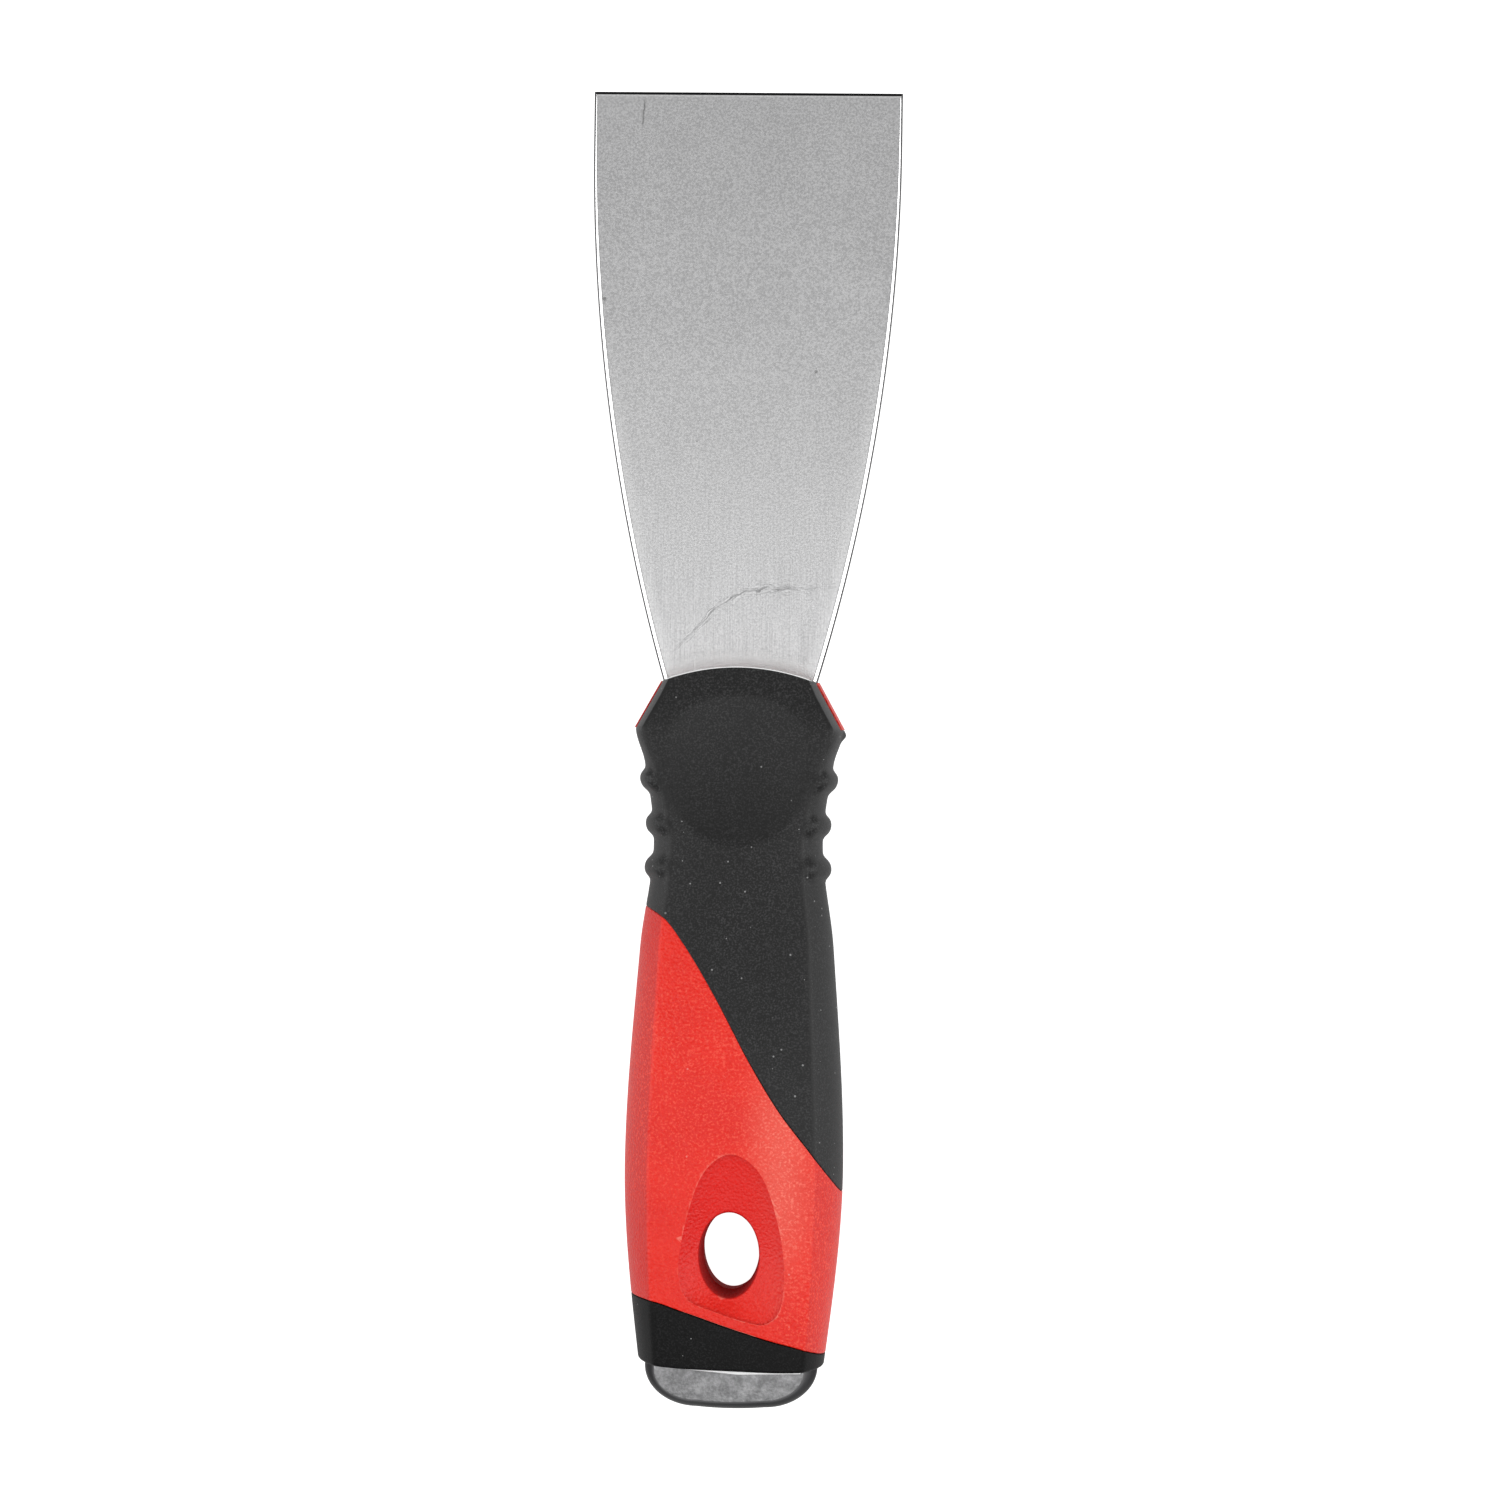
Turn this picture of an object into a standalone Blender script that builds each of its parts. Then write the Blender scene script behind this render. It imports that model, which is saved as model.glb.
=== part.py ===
"""Flexible putty knife with a 50 mm blade, a two-colour moulded handle and a metal hammer cap.

It lies on its back: +Y runs to the blade's tip, +Z comes out of the front face, and Z = 0 is the
table under the handle's belly. Along the handle, "down" is the distance from the middle of the
mouth, where the blade comes out, towards the butt. Six pieces:

blade        taper-ground spring steel, in one piece with a full tang inside the handle
handle_core  hard red plastic, moulded round the tang and the cap's stem
soft_grip    black soft plastic over the front half of the core, with a thumb dish and finger beads
end_collar   black soft plastic band over the joint between the core and the cap
hammer_cap   solid cast metal end for light blows, with a slotted stem that takes the tang
cap_pin      steel pin through the stem and the tang
"""

import math

import bmesh
import bpy
from mathutils import Vector

MM = 0.001
GAP = 0.3 * MM  # clearance between pieces that are moulded or fitted on each other

# Blade: the part that shows.
TIP_WIDTH = 50.0 * MM
BLADE_OUT = 93.0 * MM  # from the tip to the middle of the handle's mouth
STRAIGHT_SIDE = 9.0 * MM  # length of parallel side at the tip
NECK_WIDTH = 26.4 * MM  # at the mouth
TIP_THICKNESS = 0.5 * MM
TANG_THICKNESS = 1.2 * MM

# Blade: the tang inside the handle.
NECK_DEPTH = 6.0 * MM  # how far the wide neck runs into the handle
TANG_WIDTH = 17.0 * MM
TANG_SLOPE = 3.0 * MM  # length over which the tang changes width
TAIL_WIDTH = 10.0 * MM  # the end that sits in the cap's slot
EYE_RIM = 3.4 * MM  # steel on each side of the tang's eye, round the hang hole
LOCK_HOLE_WIDTH = 6.0 * MM  # plastic fills these holes and locks the tang
LOCK_HOLE_FIRST = 20.0 * MM
LOCK_HOLE_PITCH = 17.0 * MM
LOCK_HOLES = 3

# Handle, seen from the front.
HANDLE_LENGTH = 120.0 * MM
MOUTH_STEP = 0.6 * MM  # the mouth is narrower than the blade's neck by this on each side
MOUTH_BOW = 2.4 * MM  # how far the mouth's middle stands ahead of its corners
SHOULDER_AT = 10.0 * MM
SHOULDER_WIDTH = 33.6 * MM  # over the soft grip
HOLLOW_AT = 15.5 * MM  # the finger hollow below the shoulder
HOLLOW_WIDTH = 30.6 * MM
WAIST_AT = 28.5 * MM
WAIST_WIDTH = 27.4 * MM
RISE_AT = 45.5 * MM
RISE_WIDTH = 31.4 * MM
BELLY_FROM_BUTT = 39.0 * MM
BELLY_WIDTH = 35.4 * MM
END_FROM_BUTT = 9.0 * MM  # where the handle's outline stops tapering
END_WIDTH = 30.4 * MM

# Handle, seen from the side.
MOUTH_THICKNESS = 14.0 * MM
SHOULDER_THICKNESS = 16.4 * MM
WAIST_THICKNESS = 16.8 * MM
BELLY_THICKNESS = 21.6 * MM
END_THICKNESS = 18.8 * MM
BELLY_FLAT = 22.0 * MM  # length of the flat land that the knife rests on

# Handle, in section: a crowned face, a crease, and a side that curves round to the middle plane.
FLAT_STRIP = 10.0 * MM  # width of the flat strip along the middle of each face
CROWN = 0.5 * MM
SIDE_LEAN = math.radians(50)  # how far the side turns away from the face at the crease
SHOULDER_FACET = 1.2 * MM  # how much of the side shows from the front
WAIST_FACET = 3.0 * MM
BELLY_FACET = 4.3 * MM
END_FACET = 3.1 * MM
EDGE_ROUND = 1.0 * MM  # at the mouth

# Soft grip.
GRIP_WALL = 1.8 * MM
CORE_PROUD = 0.4 * MM  # the core's bare edges at the shoulders stand out from the grip by this
DISH_WIDTH = 26.6 * MM
DISH_AT = 15.0 * MM
DISH_DEPTH = 0.8 * MM
BEAD_WIDTH = 3.9 * MM  # finger beads on the two sides
BEAD_HEIGHT = 1.1 * MM
BEAD_FIRST = 18.4 * MM
BEAD_PITCH = 7.0 * MM
BEADS = 3
SWEEP_TOP = 39.0 * MM  # where the slanted edge of the grip starts, on the left
SWEEP_END_FROM_BUTT = 35.7 * MM  # and where it ends, on the right

# End collar.
COLLAR_LEFT_FROM_BUTT = 18.6 * MM
COLLAR_RIGHT_FROM_BUTT = 9.4 * MM
COLLAR_END_FROM_BUTT = 7.5 * MM
COLLAR_ROUND = 1.9 * MM
COLLAR_LIP = 0.9 * MM

# Hang hole and the dish round it.
HOLE_WIDTH = 9.9 * MM
HOLE_LENGTH = 14.4 * MM
HOLE_FROM_BUTT = 26.0 * MM
HOLE_RIM_DEPTH = 2.6 * MM  # how far the hole's rim lies below the face
HOLE_WALL = 1.7 * MM  # plastic between the hang hole and the tang's eye
RECESS_WIDTH = 17.6 * MM
RECESS_LIP = 0.35 * MM  # upright edge of the dish
RECESS_ABOVE = 16.3 * MM  # from the hole's middle to the dish's top

# Hammer cap.
CAP_FACET = 1.7 * MM
CAP_CORNER_ACROSS = 8.5 * MM  # half axes of the rounded corners, seen from the front
CAP_CORNER_ALONG = 6.6 * MM
CAP_EDGE = 2.6 * MM  # rounding of the striking face's front and back edges
CAP_COVERED = 1.8 * MM  # how much of the head the collar covers
STEM_WIDTH = 14.0 * MM
STEM_THICKNESS = 9.0 * MM
PIN_WIDTH = 2.5 * MM
PIN_CHAMFER = 0.3 * MM

# Where these lead.
LENGTH = BLADE_OUT + HANDLE_LENGTH
MOUTH_Y = LENGTH / 2 - BLADE_OUT
MIDDLE_Z = BELLY_THICKNESS / 2  # height of the blade's middle plane above the table
MOUTH_HALF = NECK_WIDTH / 2 - MOUTH_STEP
BELLY_AT = HANDLE_LENGTH - BELLY_FROM_BUTT
END_AT = HANDLE_LENGTH - END_FROM_BUTT
COLLAR_END_AT = HANDLE_LENGTH - COLLAR_END_FROM_BUTT
HEAD_AT = COLLAR_END_AT - CAP_COVERED
HOLE_AT = HANDLE_LENGTH - HOLE_FROM_BUTT
STEM_AT = HOLE_AT + HOLE_LENGTH / 2 + HOLE_WALL + TANG_SLOPE
PIN_AT = (STEM_AT + HEAD_AT) / 2
REACH = max(BELLY_WIDTH, SHOULDER_WIDTH, TIP_WIDTH)  # wider than anything a cutter has to cross
THROUGH = BELLY_THICKNESS  # and thicker, from the middle plane


def curve_through(points):
    """A smooth curve through (x, y) points that never swings past them, as a function of x."""
    xs = [p[0] for p in points]
    ys = [p[1] for p in points]
    rises = [(y1 - y0) / (x1 - x0) for x0, x1, y0, y1 in zip(xs, xs[1:], ys, ys[1:])]
    slopes = [0.0 if a * b <= 0 else 2 * a * b / (a + b) for a, b in zip(rises, rises[1:])]
    first = 1.5 * rises[0] - 0.5 * slopes[0]
    last = 1.5 * rises[-1] - 0.5 * slopes[-1]
    slopes = [first if first * rises[0] > 0 else 0.0, *slopes, last if last * rises[-1] > 0 else 0.0]

    def value(x):
        if x <= xs[0]:
            return ys[0] + slopes[0] * (x - xs[0])
        if x >= xs[-1]:
            return ys[-1] + slopes[-1] * (x - xs[-1])
        i = max(k for k in range(len(xs) - 1) if xs[k] <= x)
        h = xs[i + 1] - xs[i]
        t = (x - xs[i]) / h
        blend = t * t * (3 - 2 * t)
        bends = h * t * (1 - t) * ((1 - t) * slopes[i] - t * slopes[i + 1])
        return ys[i] * (1 - blend) + ys[i + 1] * blend + bends

    return value


SIDE_CURVE = curve_through(
    [
        (SHOULDER_AT, SHOULDER_WIDTH / 2),
        (HOLLOW_AT, HOLLOW_WIDTH / 2),
        (WAIST_AT, WAIST_WIDTH / 2),
        (RISE_AT, RISE_WIDTH / 2),
        (BELLY_AT, BELLY_WIDTH / 2),
        (END_AT, END_WIDTH / 2),
    ]
)
FACE_CURVE = curve_through(
    [
        (0.0, MOUTH_THICKNESS / 2),
        (SHOULDER_AT, SHOULDER_THICKNESS / 2),
        (WAIST_AT, WAIST_THICKNESS / 2),
        (BELLY_AT - BELLY_FLAT / 2, BELLY_THICKNESS / 2),
        (BELLY_AT + BELLY_FLAT / 2, BELLY_THICKNESS / 2),
        (END_AT, END_THICKNESS / 2),
    ]
)
FACET_CURVE = curve_through(
    [
        (0.0, SHOULDER_FACET),
        (SHOULDER_AT, SHOULDER_FACET),
        (WAIST_AT, WAIST_FACET),
        (BELLY_AT, BELLY_FACET),
        (END_AT, END_FACET),
    ]
)
# The dish's edge, as shares of its half width across and of its height above the hole's middle.
RECESS_SHAPE = [
    (-0.03, 1.0),
    (-0.54, 0.82),
    (-0.85, 0.38),
    (-1.0, -0.14),
    (-0.84, -0.45),
    (-0.34, -0.58),
    (0.25, -0.68),
    (0.64, -0.70),
    (0.92, -0.54),
    (0.99, -0.14),
    (0.85, 0.34),
    (0.52, 0.81),
]
# The slanted edges between black and red, as (share of the half width there, share of the run).
SWEEP_SHAPE = [
    (-0.81, 0.0),
    (-0.65, 0.033),
    (-0.475, 0.117),
    (-0.186, 0.296),
    (0.164, 0.543),
    (0.43, 0.709),
    (0.75, 0.87),
    (0.99, 1.0),
]
COLLAR_SHAPE = [
    (-1.085, 0.0),
    (-0.856, 0.04),
    (-0.49, 0.22),
    (0.023, 0.50),
    (0.43, 0.70),
    (0.763, 0.85),
    (0.99, 1.0),
]


def slanted_edge(shape, half, left_at, right_at):
    """Distance down the handle of a slanted edge, as a function of x."""
    return curve_through([(x * half, left_at + run * (right_at - left_at)) for x, run in shape])


SWEEP = slanted_edge(
    SWEEP_SHAPE, BELLY_WIDTH / 2, SWEEP_TOP, HANDLE_LENGTH - SWEEP_END_FROM_BUTT
)
COLLAR = slanted_edge(
    COLLAR_SHAPE,
    END_WIDTH / 2,
    HANDLE_LENGTH - COLLAR_LEFT_FROM_BUTT,
    HANDLE_LENGTH - COLLAR_RIGHT_FROM_BUTT,
)


def half_width(down):
    if down < SHOULDER_AT:
        return MOUTH_HALF + (SHOULDER_WIDTH / 2 - MOUTH_HALF) * down / SHOULDER_AT
    return SIDE_CURVE(down)


def section(half, thick, facet, steps=4):
    """Half of a handle section, from its right side over the face to its left, as (x, z)."""
    crease = half - facet
    crease_z = thick - CROWN
    corner_z = max(crease_z - facet * math.tan(SIDE_LEAN), 0.0)
    side = []
    for k in range(steps + 1):
        t = k / steps
        x = half * (1 - t * t) + crease * t * t
        z = 2 * t * (1 - t) * corner_z + t * t * crease_z
        side.append((x, z))
    strip = min(FLAT_STRIP / 2, 0.6 * crease)
    between = (crease + strip) / 2
    side += [(between, thick - CROWN * 0.25), (strip, thick)]
    return side + [(0.0, thick)] + [(-x, z) for x, z in reversed(side)]


def ring(down, side_in=0.0, face_in=0.0):
    """The handle's closed section at this distance down, taken in at its sides and its faces."""
    facet = max(FACET_CURVE(down) - side_in * (1 - math.tan(SIDE_LEAN / 2)), 0.3 * MM)
    front = section(half_width(down) - side_in, FACE_CURVE(down) - face_in, facet)
    bow = MOUTH_BOW * max(1 - down / SHOULDER_AT, 0.0)
    return placed(front, lambda x: down + bow * min(abs(x) / MOUTH_HALF, 1.0) ** 2)


def placed(front, down_at):
    """A front half section and its mirror image, as points in space."""
    whole = front + [(x, -z) for x, z in reversed(front[1:-1])]
    return [Vector((x, MOUTH_Y - down_at(x), MIDDLE_Z + z)) for x, z in whole]


def stations(start, end, spacing):
    """Evenly spaced distances from start to end, both included."""
    count = max(1, round((end - start) / spacing))
    return [start + (end - start) * k / count for k in range(count + 1)]


def object_of(name, mesh, collection):
    made = bpy.data.objects.new(name, mesh)
    collection.objects.link(made)
    return made


def mesh_of(name, form):
    bmesh.ops.recalc_face_normals(form, faces=form.faces)
    mesh = bpy.data.meshes.new(name)
    form.to_mesh(mesh)
    form.free()
    return mesh


def loft(name, rings, collection):
    """A closed skin over sections of equal point count. Each end is closed face to back."""
    form = bmesh.new()
    rows = [[form.verts.new(p) for p in points] for points in rings]
    count = len(rows[0])
    for row, following in zip(rows, rows[1:]):
        for i in range(count):
            j = (i + 1) % count
            form.faces.new((row[i], row[j], following[j], following[i]))
    for row in (rows[0], rows[-1]):
        for i in range(count // 2):
            corners = [row[i], row[i + 1], row[(count - i - 1) % count], row[(count - i) % count]]
            form.faces.new(dict.fromkeys(corners))
    return object_of(name, mesh_of(name, form), collection)


def plate(name, outlines, low, high, collection):
    """A flat plate between two heights. The first outline is its edge and the others are holes."""
    curve = bpy.data.curves.new(name, "CURVE")
    curve.dimensions = "2D"
    curve.fill_mode = "BOTH"
    curve.extrude = (high - low) / 2
    for outline in outlines:
        spline = curve.splines.new("POLY")
        spline.points.add(len(outline) - 1)
        for point, (x, y) in zip(spline.points, outline):
            point.co = (x, y, 0.0, 1.0)
        spline.use_cyclic_u = True
    drawn = object_of(name + "_outline", curve, collection)
    bpy.context.view_layer.update()
    seen = drawn.evaluated_get(bpy.context.evaluated_depsgraph_get())
    form = bmesh.new()
    form.from_mesh(bpy.data.meshes.new_from_object(seen))
    bpy.data.objects.remove(drawn)
    bmesh.ops.remove_doubles(form, verts=form.verts, dist=0.001 * MM)
    bmesh.ops.translate(form, verts=form.verts, vec=(0, 0, (high + low) / 2))
    return object_of(name, mesh_of(name, form), collection)


def pillar(name, x, down, width, low, high, collection, segments=24):
    """An upright round pin or hole."""
    form = bmesh.new()
    bmesh.ops.create_cone(
        form, cap_ends=True, segments=segments, radius1=width / 2, radius2=width / 2, depth=high - low
    )
    bmesh.ops.translate(form, verts=form.verts, vec=(x, MOUTH_Y - down, (high + low) / 2))
    return object_of(name, mesh_of(name, form), collection)


def combine(piece, operation, other):
    modifier = piece.modifiers.new(f"{operation.lower()} {other.name}", "BOOLEAN")
    modifier.operation = operation
    modifier.object = other


def grown(outline, by):
    """The outline moved outwards by a distance, or inwards by a negative one, with square corners."""
    area = sum(x0 * y1 - x1 * y0 for (x0, y0), (x1, y1) in zip(outline, outline[1:] + outline[:1]))
    outward = 1.0 if area > 0 else -1.0
    moved = []
    for i, (x, y) in enumerate(outline):
        before = Vector(outline[i]) - Vector(outline[i - 1])
        after = Vector(outline[(i + 1) % len(outline)]) - Vector(outline[i])
        normals = [Vector((d.y, -d.x)).normalized() * outward for d in (before, after)]
        middle = normals[0] + normals[1]
        moved.append(tuple(Vector((x, y)) + middle * (2 * by / middle.length_squared)))
    return moved


def ellipse(x, down, width, length, segments=32):
    angles = [2 * math.pi * k / segments for k in range(segments)]
    y = MOUTH_Y - down
    return [(x + width / 2 * math.cos(a), y + length / 2 * math.sin(a)) for a in angles]


def material(name, colour, roughness, metallic=0.0):
    made = bpy.data.materials.new(name)
    made.use_nodes = True
    surface = made.node_tree.nodes["Principled BSDF"]
    surface.inputs["Base Color"].default_value = (*colour, 1.0)
    surface.inputs["Roughness"].default_value = roughness
    surface.inputs["Metallic"].default_value = metallic
    return made


def blade_outline():
    """The blade and its tang, anticlockwise from the tip's right corner."""
    drop = (TIP_WIDTH - NECK_WIDTH) / 2
    run = BLADE_OUT - STRAIGHT_SIDE
    radius = (run * run + drop * drop) / (2 * drop)
    right = [(TIP_WIDTH / 2, -BLADE_OUT)]
    for along in stations(0.0, run + NECK_DEPTH, 5 * MM):
        side = TIP_WIDTH / 2 - radius + math.sqrt(radius * radius - along * along)
        right.append((side, along - run))
    eye_half = HOLE_WIDTH / 2 + HOLE_WALL + EYE_RIM
    eye_top = HOLE_AT - HOLE_LENGTH / 2 - HOLE_WALL - EYE_RIM
    tail_at = STEM_AT - GAP
    right += [
        (TANG_WIDTH / 2, NECK_DEPTH + TANG_SLOPE),
        (TANG_WIDTH / 2, eye_top - TANG_SLOPE),
        (eye_half, eye_top),
        (eye_half, tail_at - TANG_SLOPE),
        (TAIL_WIDTH / 2, tail_at),
        (TAIL_WIDTH / 2, slot_end() - GAP),
    ]
    edge = right + [(-x, down) for x, down in reversed(right)]
    return [(x, MOUTH_Y - down) for x, down in reversed(edge)]


def slot_end():
    """How far down the slot in the cap's stem reaches."""
    return HEAD_AT + CAP_COVERED


def lock_holes():
    return [LOCK_HOLE_FIRST + LOCK_HOLE_PITCH * k for k in range(LOCK_HOLES)]


def tang_eye(grow=0.0):
    room = 2 * (HOLE_WALL + grow)
    return ellipse(0.0, HOLE_AT, HOLE_WIDTH + room, HOLE_LENGTH + room)


def tang_holes(grow=0.0):
    width = LOCK_HOLE_WIDTH + 2 * grow
    return [tang_eye(grow)] + [ellipse(0.0, down, width, width, 20) for down in lock_holes()]


def make_blade(pieces, cutters):
    half = TANG_THICKNESS / 2
    outlines = [blade_outline(), *tang_holes()]
    blade = plate("blade", outlines, MIDDLE_Z - half, MIDDLE_Z + half, pieces)
    form = bmesh.new()
    form.from_mesh(blade.data)
    everything = [*form.verts, *form.edges, *form.faces]
    bmesh.ops.bisect_plane(form, geom=everything, plane_co=(0, MOUTH_Y, 0), plane_no=(0, 1, 0))
    for vert in form.verts:
        out = max(vert.co.y - MOUTH_Y, 0.0) / BLADE_OUT
        thickness = TANG_THICKNESS + (TIP_THICKNESS - TANG_THICKNESS) * out
        vert.co.z = MIDDLE_Z + math.copysign(thickness / 2, vert.co.z - MIDDLE_Z)
    form.to_mesh(blade.data)
    form.free()
    hole = pillar("pin_hole_in_tang", 0.0, PIN_AT, PIN_WIDTH + 2 * GAP, 0.0, THROUGH, cutters)
    combine(blade, "DIFFERENCE", hole)
    return blade


def handle_skin(name, start, end, collection):
    """The whole handle's outside between two distances down, with its mouth and its end rounded."""
    rings = []
    for down in skin_stations():
        if not start <= down <= end:
            continue
        taken_in = 0.0
        if down < EDGE_ROUND:
            taken_in = EDGE_ROUND - math.sqrt(EDGE_ROUND**2 - (EDGE_ROUND - down) ** 2)
        into_end = down - (COLLAR_END_AT - COLLAR_ROUND)
        if into_end > 0:
            share = min(into_end / COLLAR_ROUND, 1.0)
            taken_in = (COLLAR_LIP - 0.3 * MM) * (1 - math.sqrt(1 - share**2))
        rings.append(ring(down, taken_in * 0.5 if down < EDGE_ROUND else taken_in, taken_in))
    return loft(name, rings, collection)


def skin_stations():
    rounding = COLLAR_END_AT - COLLAR_ROUND
    found = [0.0, 0.3 * EDGE_ROUND, *stations(EDGE_ROUND, SHOULDER_AT, 3 * MM)]
    found += stations(SHOULDER_AT, WAIST_AT, 2.6 * MM)[1:]
    found += stations(WAIST_AT, BELLY_AT - BELLY_FLAT / 2, 5 * MM)[1:]
    found += stations(BELLY_AT - BELLY_FLAT / 2, BELLY_AT + BELLY_FLAT / 2, BELLY_FLAT / 2)[1:]
    found += stations(BELLY_AT + BELLY_FLAT / 2, rounding, 4 * MM)[1:]
    return found + [rounding + COLLAR_ROUND * math.sin(math.radians(a)) for a in (30, 60, 90)]


def between_edges(name, top, bottom, collection):
    """A block as wide as the handle between two slanted edges, each a function of x."""
    xs = stations(-REACH / 2, REACH / 2, 1.5 * MM)
    outline = [(x, MOUTH_Y - top(x)) for x in xs] + [(x, MOUTH_Y - bottom(x)) for x in reversed(xs)]
    return plate(name, [outline], MIDDLE_Z - THROUGH, MIDDLE_Z + THROUGH, collection)


def straight_tube(name, start, end, grow, collection):
    """The straight part of the core under the collar, as far in as the cap's head."""
    inset = COLLAR_LIP + GAP - grow
    rings = []
    for down in (start, end):
        front = section(END_WIDTH / 2 - inset, END_THICKNESS / 2 - inset, CAP_FACET)
        rings.append(placed(front, lambda x, down=down: down))
    return loft(name, rings, collection)


def stack(name, levels, collection):
    """A closed solid through flat outlines of equal point count, given as (height, outline)."""
    form = bmesh.new()
    rows = [[form.verts.new((x, y, MIDDLE_Z + z)) for x, y in outline] for z, outline in levels]
    for row, following in zip(rows, rows[1:]):
        for i in range(len(row)):
            form.faces.new((row[i - 1], row[i], following[i], following[i - 1]))
    form.faces.new(rows[0])
    form.faces.new(rows[-1])
    return object_of(name, mesh_of(name, form), collection)


def closed_curve(points, steps):
    """A smooth closed curve through the points."""
    found = []
    for i in range(len(points)):
        p0, p1, p2, p3 = (Vector(points[(i + k) % len(points)]) for k in (-1, 0, 1, 2))
        for k in range(steps):
            t = k / steps
            bend = (2 * p0 - 5 * p1 + 4 * p2 - p3) * t * t + (3 * p1 - p0 - 3 * p2 + p3) * t**3
            found.append(tuple(p1 + ((p2 - p0) * t + bend) / 2))
    return found


def hang_hole_cutter(cutters):
    """The hang hole with its dish on the front and the back, as one cutter."""
    spots = [(RECESS_WIDTH / 2 * x, RECESS_ABOVE * y) for x, y in RECESS_SHAPE]
    edge = closed_curve(spots, 4)
    rim = []
    for x, y in edge:
        angle = math.atan2(y / HOLE_LENGTH, x / HOLE_WIDTH)
        rim.append((HOLE_WIDTH / 2 * math.cos(angle), HOLE_LENGTH / 2 * math.sin(angle)))
    face = FACE_CURVE(HOLE_AT)
    levels = [(face + MM, edge), (face - RECESS_LIP, edge), (face - HOLE_RIM_DEPTH, rim)]
    levels += [(-z, outline) for z, outline in reversed(levels)]
    placed_levels = [(z, [(x, y + MOUTH_Y - HOLE_AT) for x, y in outline]) for z, outline in levels]
    return stack("hang_hole", placed_levels, cutters)


def core_base(pieces):
    """The core under the grip: full width between the grip's faces at the shoulders, slimmer below."""
    end = COLLAR(-BELLY_WIDTH / 2) - 2 * MM
    rings = [ring(down, -CORE_PROUD, GRIP_WALL) for down in stations(0.0, SHOULDER_AT - GAP, 3.3 * MM)]
    below = [down for down in skin_stations() if SHOULDER_AT + GRIP_WALL / 2 < down < end]
    rings += [ring(down, GRIP_WALL, GRIP_WALL) for down in [SHOULDER_AT, *below]]
    return loft("handle_core", rings, pieces)


def make_core(pieces, cutters):
    core = core_base(pieces)
    band = handle_skin("red_band", WAIST_AT, COLLAR_END_AT, cutters)
    allowed = between_edges("red_band_limits", lambda x: SWEEP(x) + GAP, lambda x: COLLAR(x) - GAP, cutters)
    combine(band, "INTERSECT", allowed)
    combine(core, "UNION", band)
    tube_start = COLLAR(-BELLY_WIDTH / 2) - 6 * MM
    combine(core, "UNION", straight_tube("collar_seat", tube_start, HEAD_AT - GAP, 0.0, cutters))
    combine(core, "DIFFERENCE", hang_hole_cutter(cutters))
    outlines = [grown(blade_outline(), GAP), *tang_holes(-GAP)]
    low = MIDDLE_Z - TANG_THICKNESS / 2 - GAP
    high = MIDDLE_Z + TANG_THICKNESS / 2 + GAP
    combine(core, "DIFFERENCE", plate("tang_room", outlines, low, high, cutters))
    combine(core, "DIFFERENCE", stem_block("stem_room", GAP, cutters))
    return core


def grip_cavity(cutters):
    """The space for the core inside the grip. It opens through the sides at the shoulders."""
    wall = GRIP_WALL - GAP
    through_side = -BEAD_WIDTH
    rings = [ring(down, through_side, wall) for down in stations(-2 * MM, SHOULDER_AT, 3 * MM)]
    end = HANDLE_LENGTH - SWEEP_END_FROM_BUTT + 6 * MM
    below = [down for down in skin_stations() if SHOULDER_AT + GRIP_WALL / 2 < down < end]
    rings += [ring(down, wall, wall) for down in [SHOULDER_AT + GAP, *below]]
    return loft("grip_cavity", rings, cutters)


def bead(down, side, collection):
    """A round bead that follows the side from crease to crease and dives in at both ends."""
    sunk = BEAD_WIDTH / 2 - BEAD_HEIGHT
    half = section(half_width(down), FACE_CURVE(down), FACET_CURVE(down), 6)[:7]
    path = [(x - sunk, z - sunk * z / FACE_CURVE(down)) for x, z in half]
    last_x, last_z = path[-1]
    path.append((last_x - BEAD_WIDTH, last_z - BEAD_WIDTH / 2))
    path = [(x, -z) for x, z in reversed(path[1:])] + path
    curve = bpy.data.curves.new("bead_path", "CURVE")
    curve.dimensions = "3D"
    curve.bevel_depth = BEAD_WIDTH / 2
    curve.bevel_resolution = 4
    curve.use_fill_caps = True
    spline = curve.splines.new("POLY")
    spline.points.add(len(path) - 1)
    for point, (x, z) in zip(spline.points, path):
        point.co = (side * x, MOUTH_Y - down, MIDDLE_Z + z, 1.0)
    drawn = object_of("bead_path", curve, collection)
    bpy.context.view_layer.update()
    seen = drawn.evaluated_get(bpy.context.evaluated_depsgraph_get())
    form = bmesh.new()
    form.from_mesh(bpy.data.meshes.new_from_object(seen))
    bpy.data.objects.remove(drawn)
    bmesh.ops.remove_doubles(form, verts=form.verts, dist=0.001 * MM)
    name = f"bead_{'right' if side > 0 else 'left'}_{round(down / MM)}"
    return object_of(name, mesh_of(name, form), collection)


def thumb_dish(side, collection):
    """A shallow round dish for one face, hollowed out like a lens."""
    radius = (DISH_WIDTH**2 / 4 + DISH_DEPTH**2) / (2 * DISH_DEPTH)
    face = FACE_CURVE(DISH_AT)
    levels = []
    for share in (0.1, 0.4, 0.7, 0.85, 1.0, 1.2, 1.5):
        reach = DISH_WIDTH / 2 * share
        rise = radius - math.sqrt(radius * radius - reach * reach) - DISH_DEPTH
        levels.append((side * (face + rise), ellipse(0.0, DISH_AT, 2 * reach, 2 * reach, 48)))
    return stack("thumb_dish_front" if side > 0 else "thumb_dish_back", levels, collection)


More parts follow.
